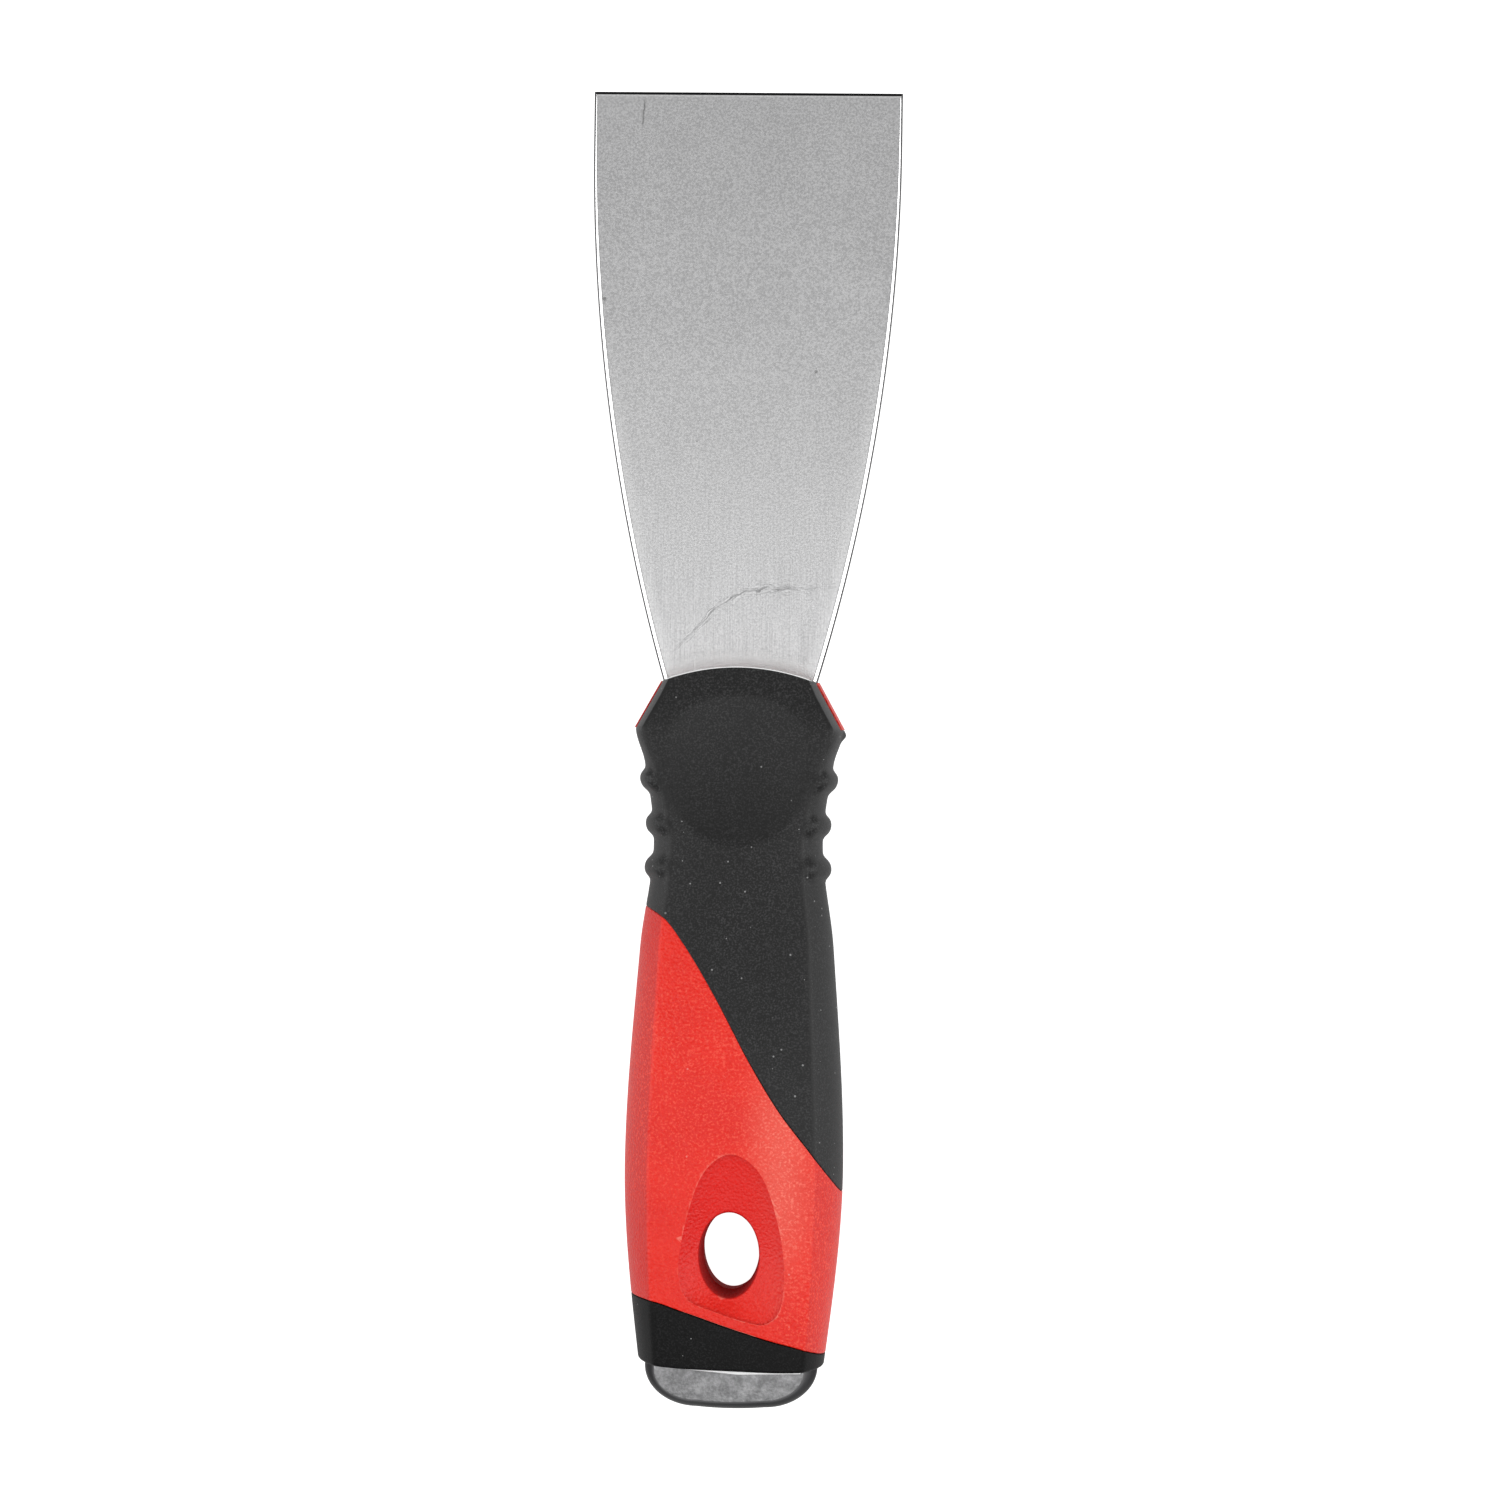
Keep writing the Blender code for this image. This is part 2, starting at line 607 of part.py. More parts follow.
def make_grip(pieces, cutters):
    grip = handle_skin("soft_grip", 0.0, HANDLE_LENGTH - SWEEP_END_FROM_BUTT + 6 * MM, pieces)
    for k in range(BEADS):
        for side in (-1, 1):
            combine(grip, "UNION", bead(BEAD_FIRST + BEAD_PITCH * k, side, cutters))
    for side in (-1, 1):
        combine(grip, "DIFFERENCE", thumb_dish(side, cutters))
    combine(grip, "DIFFERENCE", grip_cavity(cutters))
    beyond = HANDLE_LENGTH + 20 * MM
    combine(grip, "DIFFERENCE", between_edges("below_grip", SWEEP, lambda x: beyond, cutters))
    return grip


def make_collar(pieces, cutters):
    start = COLLAR(-BELLY_WIDTH / 2) - 8 * MM
    collar = handle_skin("end_collar", start, HANDLE_LENGTH, pieces)
    combine(collar, "DIFFERENCE", between_edges("above_collar", lambda x: 0.0, COLLAR, cutters))
    combine(
        collar, "DIFFERENCE", straight_tube("collar_room", start - MM, HANDLE_LENGTH, GAP, cutters)
    )
    return collar


def stem_block(name, grow, collection):
    """The cap's stem, from its top to well inside the head."""
    half = STEM_WIDTH / 2
    outline = [
        (-half, MOUTH_Y - STEM_AT),
        (half, MOUTH_Y - STEM_AT),
        (half, MOUTH_Y - HEAD_AT - MM),
        (-half, MOUTH_Y - HEAD_AT - MM),
    ]
    rise = STEM_THICKNESS / 2 + grow
    return plate(name, [grown(outline, grow)], MIDDLE_Z - rise, MIDDLE_Z + rise, collection)


def cap_head(pieces):
    """The cap's solid head: straight under the collar, then rounded in to the striking face."""
    inset = COLLAR_LIP + GAP
    half = END_WIDTH / 2 - inset
    thick = END_THICKNESS / 2 - inset
    corner_at = HANDLE_LENGTH - CAP_CORNER_ALONG
    turns = [math.radians(a) for a in (0, 12, 24, 35, 46, 56, 66)]
    levels = [(HEAD_AT, 0.0), *[(corner_at + CAP_CORNER_ALONG * math.sin(a), a) for a in turns]]
    edge_start = HANDLE_LENGTH - CAP_EDGE
    levels = [(down, a) for down, a in levels if down < edge_start - 0.2 * MM]
    for share in (0.0, 0.3, 0.55, 0.75, 0.9, 1.0):
        down = edge_start + CAP_EDGE * share
        levels.append((down, math.asin(min((down - corner_at) / CAP_CORNER_ALONG, 0.995))))
    rings = []
    for down, angle in levels:
        into_edge = max(down - edge_start, 0.0) / CAP_EDGE
        fall = CAP_EDGE * (1 - math.sqrt(max(1 - into_edge**2, 0.0)))
        narrow = CAP_CORNER_ACROSS * (1 - math.cos(angle))
        front = section(half - narrow, thick - fall, CAP_FACET)
        rings.append(placed(front, lambda x, down=down: down))
    return loft("hammer_cap", rings, pieces)


def make_cap(pieces, cutters):
    cap = cap_head(pieces)
    combine(cap, "UNION", stem_block("stem", 0.0, cutters))
    half = TAIL_WIDTH / 2 + GAP
    slot = [
        (-half, MOUTH_Y - STEM_AT + 2 * MM),
        (half, MOUTH_Y - STEM_AT + 2 * MM),
        (half, MOUTH_Y - slot_end()),
        (-half, MOUTH_Y - slot_end()),
    ]
    rise = TANG_THICKNESS / 2 + GAP
    combine(cap, "DIFFERENCE", plate("tail_slot", [slot], MIDDLE_Z - rise, MIDDLE_Z + rise, cutters))
    hole = pillar("pin_hole_in_stem", 0.0, PIN_AT, PIN_WIDTH + 2 * GAP, 0.0, THROUGH, cutters)
    combine(cap, "DIFFERENCE", hole)
    return cap


def make_pin(pieces):
    rise = STEM_THICKNESS / 2
    pin = pillar("cap_pin", 0.0, PIN_AT, PIN_WIDTH, MIDDLE_Z - rise, MIDDLE_Z + rise, pieces)
    chamfer = pin.modifiers.new("chamfer", "BEVEL")
    chamfer.width = PIN_CHAMFER
    chamfer.segments = 1
    return pin


def main():
    for old in list(bpy.data.objects):
        bpy.data.objects.remove(old)
    pieces = bpy.data.collections.new("putty_knife")
    cutters = bpy.data.collections.new("cutters")
    for collection in (pieces, cutters):
        bpy.context.scene.collection.children.link(collection)

    ground_steel = material("ground_steel", (0.55, 0.55, 0.55), 0.3, 1.0)
    red_plastic = material("red_plastic", (0.80, 0.035, 0.02), 0.45)
    soft_black = material("soft_black", (0.022, 0.022, 0.022), 0.6)
    cast_metal = material("cast_metal", (0.32, 0.32, 0.33), 0.4, 1.0)
    finishes = [
        (make_blade(pieces, cutters), ground_steel),
        (make_core(pieces, cutters), red_plastic),
        (make_grip(pieces, cutters), soft_black),
        (make_collar(pieces, cutters), soft_black),
        (make_cap(pieces, cutters), cast_metal),
        (make_pin(pieces), ground_steel),
    ]
    for piece, finish in finishes:
        piece.data.materials.append(finish)
        piece.data.shade_smooth()
        piece.data.set_sharp_from_angle(angle=math.radians(30))
    for helper in cutters.objects:
        helper.hide_render = True
        helper.display_type = "WIRE"


main()
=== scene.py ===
# %% [markdown]
# # A flexible putty knife, built in Blender
# A putty knife presses filler into holes and draws it smooth. This one has a thin, springy steel
# blade, a hard red handle with black soft-touch mouldings, and a metal cap at the butt for light
# blows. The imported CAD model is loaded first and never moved. It gives the places and the sizes,
# and each piece that shows is then modelled again here with finer edges and curves.

# %% Load the frame
import math

import bpy
import bmesh
import numpy as np
from mathutils import Matrix, Vector


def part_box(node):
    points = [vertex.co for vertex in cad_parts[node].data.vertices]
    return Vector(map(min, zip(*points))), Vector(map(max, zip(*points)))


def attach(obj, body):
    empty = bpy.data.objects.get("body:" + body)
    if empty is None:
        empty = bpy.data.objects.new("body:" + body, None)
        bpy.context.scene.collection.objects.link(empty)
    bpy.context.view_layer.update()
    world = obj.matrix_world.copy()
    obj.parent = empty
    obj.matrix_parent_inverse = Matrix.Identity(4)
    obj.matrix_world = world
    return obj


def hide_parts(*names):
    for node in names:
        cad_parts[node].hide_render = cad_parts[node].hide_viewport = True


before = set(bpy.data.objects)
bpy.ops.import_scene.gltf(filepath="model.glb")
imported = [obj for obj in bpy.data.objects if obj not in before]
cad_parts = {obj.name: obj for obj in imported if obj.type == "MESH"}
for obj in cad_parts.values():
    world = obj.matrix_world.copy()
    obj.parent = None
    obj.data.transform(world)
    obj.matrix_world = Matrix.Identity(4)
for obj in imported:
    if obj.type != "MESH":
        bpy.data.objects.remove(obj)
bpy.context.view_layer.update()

# %% [markdown]
# ## Places
# The knife lies on its back: +Y runs to the blade's tip and +Z comes out of its front. The corners
# of the CAD nodes say where the tip, the butt and the mouth of the handle are. "Down" is the
# distance from the middle of the mouth towards the butt, as a maker would measure a handle.

# %% Places from the frame
MM = 0.001
TIP_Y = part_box("blade")[1][1]
BUTT_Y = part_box("hammer_cap")[0][1]
MOUTH_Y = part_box("soft_grip")[1][1]
MIDDLE_Z = (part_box("blade")[0][2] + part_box("blade")[1][2]) / 2
HANDLE_LENGTH = MOUTH_Y - BUTT_Y
BLADE_OUT = TIP_Y - MOUTH_Y
MIDDLE = MIDDLE_Z / MM  # the same height in millimetres
print(f"blade {BLADE_OUT / MM:.1f} mm out of the mouth, handle {HANDLE_LENGTH / MM:.1f} mm long")

# %% [markdown]
# ## Small helpers
# An operator acts on everything that is selected, and a freshly loaded frame is selected all over.
# So each step begins by selecting nothing, or one piece only.


# %% Selecting, and applying modifiers
def only(piece):
    """Select one piece and nothing else, and make it the active one."""
    bpy.ops.object.select_all(action="DESELECT")
    piece.select_set(True)
    bpy.context.view_layer.objects.active = piece


def apply_modifiers(piece):
    """Apply a piece's modifiers in their order."""
    only(piece)
    for modifier in list(piece.modifiers):
        bpy.ops.object.modifier_apply(modifier=modifier.name)


def select_nothing(piece):
    """Clear the selection of a mesh's points, edges and faces."""
    for elements in (piece.data.vertices, piece.data.edges, piece.data.polygons):
        elements.foreach_set("select", [False] * len(elements))


def boolean(piece, operation, other):
    """Cut with or join to another piece, which is used up."""
    only(piece)
    modifier = piece.modifiers.new("boolean", "BOOLEAN")
    modifier.operation = operation
    modifier.solver = "EXACT"
    modifier.object = other
    bpy.ops.object.modifier_apply(modifier=modifier.name)
    bpy.data.objects.remove(other)


def finish(piece, node, angle=30):
    """Smooth shading with the real corners left sharp, and the piece's place in the frame."""
    only(piece)
    bpy.ops.object.shade_smooth_by_angle(angle=math.radians(angle))
    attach(piece, "root")
    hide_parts(node)
    print(f"{piece.name}: {len(piece.data.polygons)} faces")


# %% [markdown]
# ## The handle's form
# A moulded handle changes its section all the way down: narrow at the mouth, wide at the shoulders,
# thin in the finger hollow, full at the belly. Extruding and scaling one profile could follow the
# widths, but the crease between the face and the side moves as well. So the form is written down as
# three smooth curves - half width, half thickness and facet width - and every piece of the handle
# reads the same curves. The pieces then meet exactly, as mouldings from one tool do.


# %% Smooth curves that never swing past their points
def curve_through(points):
    """A monotone cubic through (x, y) points, as a function of an array of x."""
    xs, ys = (np.array(values, float) for values in zip(*points))
    rises = np.diff(ys) / np.diff(xs)
    slopes = np.zeros_like(ys)
    product = rises[:-1] * rises[1:]
    steady = product > 0
    slopes[1:-1][steady] = 2 * product[steady] / (rises[:-1] + rises[1:])[steady]
    for end, rise, near in ((0, rises[0], slopes[1]), (-1, rises[-1], slopes[-2])):
        guess = 1.5 * rise - 0.5 * near
        slopes[end] = guess if guess * rise > 0 else 0.0

    def value(x):
        x = np.asarray(x, float)
        i = np.clip(np.searchsorted(xs, x) - 1, 0, len(xs) - 2)
        h = xs[i + 1] - xs[i]
        t = np.clip((x - xs[i]) / h, 0, 1)
        blend = t * t * (3 - 2 * t)
        bend = h * t * (1 - t) * ((1 - t) * slopes[i] - t * slopes[i + 1])
        beyond = np.minimum(x - xs[0], 0) * slopes[0] + np.maximum(x - xs[-1], 0) * slopes[-1]
        return ys[i] * (1 - blend) + ys[i + 1] * blend + bend + beyond

    return value


# %% The handle's widths, thicknesses and facets, in millimetres down from the mouth
SHOULDER_AT = 10.0
SHOULDER_HALF = 16.8
MOUTH_HALF = 12.6
MOUTH_BOW = 2.4
COLLAR_END_AT = 112.5
SIDE = curve_through(
    [(0, MOUTH_HALF), (SHOULDER_AT, SHOULDER_HALF), (10.01, SHOULDER_HALF), (15.5, 15.3)]
    + [(28.5, 13.7), (45.5, 15.7), (81, 17.7), (111, 15.2)]
)
FACE = curve_through(
    [(0, 7.0), (SHOULDER_AT, 8.2), (28.5, 8.4), (70, 10.8), (92, 10.8), (111, 9.4)]
)
FACET = curve_through([(0, 1.5), (SHOULDER_AT, 1.5), (28.5, 3.0), (81, 4.3), (111, 3.1)])
CROWN = 0.5  # how much lower the face is at the crease than in its middle
FLAT_STRIP = 5.0
SIDE_LEAN = math.radians(50)
CREASE_ROUND = 0.16


def side_at(down):
    """Half the handle's width. The shoulder is a straight slant from the mouth to a corner."""
    slant = MOUTH_HALF + (SHOULDER_HALF - MOUTH_HALF) * np.asarray(down) / SHOULDER_AT
    return np.where(np.asarray(down) < SHOULDER_AT, slant, SIDE(down))


# %% One section of the handle, all the way round
QUARTER = 48  # columns from the side's middle to the middle of a face
COLUMNS = 4 * QUARTER
FINE = 8  # steps per column while the crease is rounded


def section(half, thick, facet):
    """The closed outline as x and z, starting at the right and passing over the front."""
    crease = half - facet
    crease_z = thick - CROWN
    corner_z = max(crease_z - facet * math.tan(SIDE_LEAN), 0.0)
    t = np.linspace(0, 1, QUARTER * FINE // 2, endpoint=False)
    side_x = half * (1 - t * t) + crease * t * t
    side_z = 2 * t * (1 - t) * corner_z + t * t * crease_z
    face_x = crease * (1 - t)
    strip = min(FLAT_STRIP, 0.6 * crease)
    face_z = thick - CROWN * np.clip((face_x - strip) / (crease - strip), 0, 1) ** 2
    x = np.concatenate([side_x, face_x])
    z = np.concatenate([side_z, face_z])
    x = np.concatenate([x, [0], -x[:0:-1], -x, [0], x[:0:-1]])
    z = np.concatenate([z, [thick], z[:0:-1], -z, [-thick], -z[:0:-1]])
    waves = np.fft.fftfreq(len(x)) * 2 * math.pi
    steps = CREASE_ROUND / (np.hypot(*(np.roll(v, -1) - v for v in (x, z))).mean())
    soften = np.exp(-((waves * steps) ** 2) / 2)
    x, z = (np.fft.ifft(np.fft.fft(v) * soften).real for v in (x, z))
    return x[::FINE], z[::FINE]


TABLE_STEP = 0.25
TABLE_DOWN = np.arange(0, 120, TABLE_STEP)
TABLE = np.array([section(side_at(d), FACE(d), FACET(d)) for d in TABLE_DOWN])
print("sections tabulated:", TABLE.shape)


def skin(down, inset=0.0):
    """Points of the handle's outside. down has a row for each ring and a column for each spoke."""
    down = np.asarray(down, float)
    place = np.clip(down / TABLE_STEP, 0, len(TABLE_DOWN) - 1.001)
    low = place.astype(int)
    share = place - low
    spoke = np.arange(COLUMNS)[None, :]
    x, z = (TABLE[low, k, spoke] * (1 - share) + TABLE[low + 1, k, spoke] * share for k in (0, 1))
    reach = np.hypot(x, z)
    x, z = x * (1 - inset / reach), z * (1 - inset / reach)
    bow = MOUTH_BOW * np.clip(1 - down / SHOULDER_AT, 0, 1)
    bow = bow * np.minimum(np.abs(x) / MOUTH_HALF, 1) ** 2
    return np.stack([x, MOUTH_Y / MM - down - bow, z + MIDDLE], axis=-1)


# %% [markdown]
# ## Wrapping a grid
# Every piece of the handle is a sheet that goes round it. A grid primitive has the right faces from
# the start: rows down the handle and columns round it. Its points are moved to their places on the
# form, its first and last columns are merged, and its ends are closed face to back.


# %% A grid wrapped round the knife
def wrap_grid(name, points, keep=None, close=True):
    """A grid primitive wrapped so that row r and column c sit at points[r, c] (millimetres)."""
    rows, columns = points.shape[:2]
    bpy.ops.object.select_all(action="DESELECT")
    bpy.ops.mesh.primitive_grid_add(x_subdivisions=columns, y_subdivisions=rows - 1, size=1.0)
    piece = bpy.context.object
    piece.name = piece.data.name = name
    wrapped = np.concatenate([points, points[:, :1]], axis=1) * MM
    piece.data.vertices.foreach_set("co", wrapped.reshape(-1))
    form = bmesh.new()
    form.from_mesh(piece.data)
    form.verts.ensure_lookup_table()
    if keep is not None:
        form.faces.ensure_lookup_table()
        away = [f for f in form.faces if not keep.reshape(-1)[f.index]]
        bmesh.ops.delete(form, geom=away, context="FACES")
    if close:
        for first in (0, (rows - 1) * (columns + 1)):
            ring = [form.verts[first + c] for c in range(columns + 1)]
            for c in range(columns // 2):
                corners = (ring[c], ring[c + 1], ring[columns - c - 1], ring[columns - c])
                form.faces.new(list(dict.fromkeys(corners)))
    form.to_mesh(piece.data)
    form.free()
    only(piece)
    bpy.ops.object.mode_set(mode="EDIT")
    bpy.ops.mesh.select_all(action="SELECT")
    bpy.ops.mesh.remove_doubles(threshold=1e-6)
    bpy.ops.mesh.normals_make_consistent(inside=False)
    bpy.ops.object.mode_set(mode="OBJECT")
    return piece


def rows_between(start, end, count):
    """Rows from one line to another. A line is a number, or one number for each column."""
    start, end = (np.broadcast_to(np.asarray(line, float), (COLUMNS,)) for line in (start, end))
    share = np.linspace(0, 1, count + 1)[:, None]
    return start * (1 - share) + end * share


# %% [markdown]
# ## Where the colours meet
# The black grip and the black collar end on slanted lines. Both lines are cut straight through the
# handle from front to back, so each is a curve of "down" against x. A column of the form changes its
# x on the way down, so the crossing is found by stepping towards it a few times.

# %% The two slanted lines
SWEEP = curve_through(
    [(-14.3, 39.0), (-11.5, 40.5), (-8.4, 44.3), (-3.3, 52.4)]
    + [(2.9, 63.6), (7.6, 71.1), (13.3, 78.4), (17.5, 84.3)]
)
COLLAR = curve_through(
    [(-16.5, 101.4), (-13.0, 101.75), (-7.45, 103.4), (0.35, 106.0)]
    + [(6.5, 107.85), (11.6, 109.2), (15.05, 110.6)]
)


def crossing(line):
    """How far down each column of the form meets a slanted line."""
    down = np.full(COLUMNS, 80.0)
    for _ in range(30):
        x = skin(down[None, :])[0, :, 0]
        down = 0.5 * down + 0.5 * line(x)
    return down


SWEEP_DOWN = crossing(SWEEP)
COLLAR_DOWN = crossing(COLLAR)
print(f"sweep {SWEEP_DOWN.min():.1f} to {SWEEP_DOWN.max():.1f} mm down")
print(f"collar {COLLAR_DOWN.min():.1f} to {COLLAR_DOWN.max():.1f} mm down")

# %% [markdown]
# ## The soft grip
# Soft black plastic is moulded over the front half of the core. On each face it starts at the bowed
# mouth and has a shallow thumb dish. Below the shoulders it wraps the sides too, where three beads
# stop the fingers from sliding. The outer skin is wrapped first, with the side faces beside the
# shoulders left out, because the red core shows there. The dish and the beads are then pushed into
# the skin, a Solidify modifier gives the wall, and a bevel rounds the rims.

# %% The grip's rows, closest together where the beads are
GRIP_WALL = 1.5
RIM_CELL = 0.4
BEADS_TO = 37.0
grip_down = np.concatenate(
    [
        rows_between(0, RIM_CELL, 1),
        rows_between(RIM_CELL, SHOULDER_AT, 19)[1:],
        rows_between(SHOULDER_AT, BEADS_TO, 90)[1:],
        rows_between(BEADS_TO, SWEEP_DOWN - RIM_CELL, 56)[1:],
        rows_between(SWEEP_DOWN - RIM_CELL, SWEEP_DOWN, 1)[1:],
    ]
)
grip_skin = skin(grip_down)
print("grip rows:", len(grip_skin))

# %% The thumb dish: the face is lowered to a wide, shallow lens
DISH_AT = 15.0
DISH_RADIUS = 13.3
DISH_DEPTH = 1.25
for side in (1, -1):
    x, y, z = (grip_skin[..., k] for k in range(3))
    radius = np.hypot(x, MOUTH_Y / MM - y - DISH_AT)
    lens = FACE(DISH_AT) - DISH_DEPTH * (1 - (radius / DISH_RADIUS) ** 2)
    height = (z - MIDDLE) * side
    in_reach = (radius < 1.2 * DISH_RADIUS) & (height > 0)
    lowered = np.where(in_reach, np.minimum(height, lens), height)
    grip_skin[..., 2] = MIDDLE + side * lowered

# %% The finger beads: round ribs across each side, with round ends at the creases
BEADS = (18.5, 25.6, 32.4)
BEAD_HALF = 1.75
BEAD_HEIGHT = 1.25
BEAD_REACH = 0.8  # share of the way from the side's middle to the crease
BEAD_SMOOTHING = 3
spoke = np.arange(COLUMNS)
from_side = np.minimum(spoke % (2 * QUARTER), 2 * QUARTER - spoke % (2 * QUARTER))
outward = np.stack([grip_skin[..., 0], grip_skin[..., 2] - MIDDLE])
around = np.roll(outward, -1, axis=2) - np.roll(outward, 1, axis=2)
normal = np.stack([around[1], -around[0]]) / np.hypot(*around)
reach = from_side / (QUARTER / 2)  # 0 in the middle of the side, 1 at the crease
past_end = np.clip(reach - BEAD_REACH, 0, None)[None, :] * np.abs(outward[1]).max() / BEAD_HALF
raised = np.zeros(grip_down.shape)
for bead in BEADS:
    dome = 1 - ((grip_down - bead) / BEAD_HALF) ** 2 - past_end**2
    raised = np.maximum(raised, BEAD_HEIGHT * np.sqrt(np.clip(dome, 0, 1)))
NUB_AT, NUB_LONG, NUB_WIDE, NUB_HIGH = 11.0, 0.75, 1.4, 0.8  # the mark of the moulding gate
FAR_AWAY = 9.0  # keeps the nub off the left side
nub_across = outward[1] * (outward[0] > 0) + FAR_AWAY * (outward[0] <= 0)
nub = 1 - ((grip_down - NUB_AT) / NUB_LONG) ** 2 - (nub_across / NUB_WIDE) ** 2
raised = np.maximum(raised, NUB_HIGH * np.sqrt(np.clip(nub, 0, 1)))
for _ in range(BEAD_SMOOTHING):
    raised = (raised + np.roll(raised, 1, 1) + np.roll(raised, -1, 1)) / 3
    raised[1:-1] = (raised[:-2] + 2 * raised[1:-1] + raised[2:]) / 4
grip_skin[..., 0] += normal[0] * raised
grip_skin[..., 2] += normal[1] * raised
print(f"beads stand out {raised.max():.2f} mm")

# %% The grip's wall and rims
RIM_BEVEL = 0.18
TONGUE_FROM = 0.42  # share of the way up the side where the tongues on the faces begin
beside = reach < TONGUE_FROM
keep = np.ones((len(grip_skin) - 1, COLUMNS), bool)
keep[grip_down[1:].max(axis=1) <= SHOULDER_AT + 1e-6] = ~beside
soft_grip = wrap_grid("soft_grip_fine", grip_skin, keep=keep, close=False)
wall = soft_grip.modifiers.new("wall", "SOLIDIFY")
wall.thickness = GRIP_WALL * MM
wall.offset = -1.0
wall.material_offset_rim = 1
for _ in range(2):
    soft_grip.data.materials.append(None)
apply_modifiers(soft_grip)
select_nothing(soft_grip)
for face in soft_grip.data.polygons:
    face.select = face.material_index == 1
    face.material_index = 0
bpy.ops.object.mode_set(mode="EDIT")
bpy.ops.mesh.select_mode(type="FACE")
bpy.ops.mesh.region_to_loop()
bpy.ops.mesh.bevel(offset=RIM_BEVEL * MM, segments=2, affect="EDGES")
bpy.ops.object.mode_set(mode="OBJECT")
soft_grip.data.materials.clear()
finish(soft_grip, "soft_grip", 40)

# %% [markdown]
# ## The red core
# The hard core fills the handle. It shows as a band between the two slanted lines and as a proud
# edge beside the shoulders. The band is a solid whose ends are rolled over by a fraction of a
# millimetre, as a moulded edge is, so that a fine dark seam is left at each black piece.


# %% The band between the black pieces
def rolled(line, along, radius, depth, steps=4):
    """Rows that come up from inside and roll over an edge: (down, inset) for each row."""
    rows = [(line, depth)]
    for k in range(steps + 1):
        turn = math.pi / 2 * k / steps
        rows.append((line + along * radius * (1 - math.cos(turn)), radius * (1 - math.sin(turn))))
    return rows


def solid_between(name, start, end, count, first_radius, last_radius, depth=1.6):
    """A solid length of the handle between two lines, with rolled edges."""
    first = rolled(start, 1, first_radius, depth)
    last = rolled(end, -1, last_radius, depth)[::-1]
    middle = [(row, 0.0) for row in rows_between(first[-1][0], last[0][0], count)[1:-1]]
    rows = first + middle + last
    rings = [skin(np.broadcast_to(line, (1, COLUMNS)), inset)[0] for line, inset in rows]
    return wrap_grid(name, np.array(rings))


SEAM = 0.06
EDGE_ROLL = 0.2
core_ends = SWEEP_DOWN + SEAM, COLLAR_DOWN - SEAM
core = solid_between("handle_core_fine", *core_ends, 130, EDGE_ROLL, EDGE_ROLL)
print("band:", len(core.data.polygons), "faces")

# %% [markdown]
# Under the grip the core goes on to the mouth. Beside the shoulders it stands out from the black by
# a few tenths of a millimetre, and that is the red line that runs along the slants.

# %% The plug under the grip, proud at the shoulders
PROUD = 0.2
PLUG_TO = 60.0
UNDER = GRIP_WALL + 0.1
MOUTH_STEP = 2.0  # how far inside the mouth the plug's middle begins
plug_rings = []
beside_rows = (*np.linspace(0.1, SHOULDER_AT, 24), SHOULDER_AT + 0.25)
for down in (*beside_rows, *np.linspace(12, PLUG_TO, 40)):
    shown = (reach < TONGUE_FROM) & (down <= SHOULDER_AT)
    start = np.where(shown, down, max(down, MOUTH_STEP))
    plug_rings.append(skin(start[None, :], np.where(shown, -PROUD, UNDER))[0])
plug = wrap_grid("plug", np.array(plug_rings))
boolean(core, "UNION", plug)
print("core with plug:", len(core.data.polygons), "faces")

# %% [markdown]
# The blade leaves the core through a slot. A thin block is cut out, a little larger than the steel.

# %% The slot for the blade
BLADE_HALF_AT_MOUTH = 13.2
TANG_THICKNESS = 1.2
SLOT_DEEP, SLOT_BEYOND = 11.0, 1.0  # from the mouth into the core, and out past the mouth
SLOT_ROOM = 0.1  # all round the steel's thickness, and half of it at its side edges
bpy.ops.object.select_all(action="DESELECT")
slot_y = MOUTH_Y - (SLOT_DEEP - SLOT_BEYOND) / 2 * MM
bpy.ops.mesh.primitive_cube_add(size=1.0, location=(0, slot_y, MIDDLE_Z))
slot = bpy.context.object
slot_wide = 2 * (BLADE_HALF_AT_MOUTH + SLOT_ROOM / 2) * MM
slot.scale = (slot_wide, (SLOT_DEEP + SLOT_BEYOND) * MM, (TANG_THICKNESS + 2 * SLOT_ROOM) * MM)
bpy.ops.object.transform_apply(location=True, rotation=True, scale=True)
boolean(core, "DIFFERENCE", slot)

# %% [markdown]
# ## The hang hole and its dish
# The knife hangs on a hook through an oval hole. Round it lies an egg-shaped dish with a crisp lip.
# The tool that cuts both is a stack of outlines. It is a little narrow at the face and widens just
# below it along an arc, so a thin lip overhangs the dish. It then narrows to the oval. The face is
# curved, so the lip follows its height.

# %% Outlines of the dish and the hole
HOLE_DOWN = 94.0
HOLE_HALF = (4.8, 6.8)
HOLE_OFF = (-0.2, -0.4)  # the hole's middle, from the dish's
RECESS_ASIDE = 0.35
RECESS_HALF = 8.8
RECESS_ABOVE = 16.3
RECESS_SHAPE = (
    [(-0.03, 1.0), (-0.54, 0.82), (-0.85, 0.38), (-1.0, -0.14), (-0.84, -0.45), (-0.34, -0.58)]
    + [(0.25, -0.68), (0.64, -0.70), (0.92, -0.54), (0.99, -0.14), (0.85, 0.34), (0.52, 0.81)]
)


def closed_curve(points, steps):
    """A smooth closed curve through the points."""
    p0, p1, p2, p3 = (np.roll(np.array(points, float), -k, axis=0)[:, None] for k in (-1, 0, 1, 2))
    t = np.linspace(0, 1, steps, endpoint=False)[None, :, None]
    bend = (2 * p0 - 5 * p1 + 4 * p2 - p3) * t**2 + (3 * p1 - p0 - 3 * p2 + p3) * t**3
    return (p1 + ((p2 - p0) * t + bend) / 2).reshape(-1, 2)


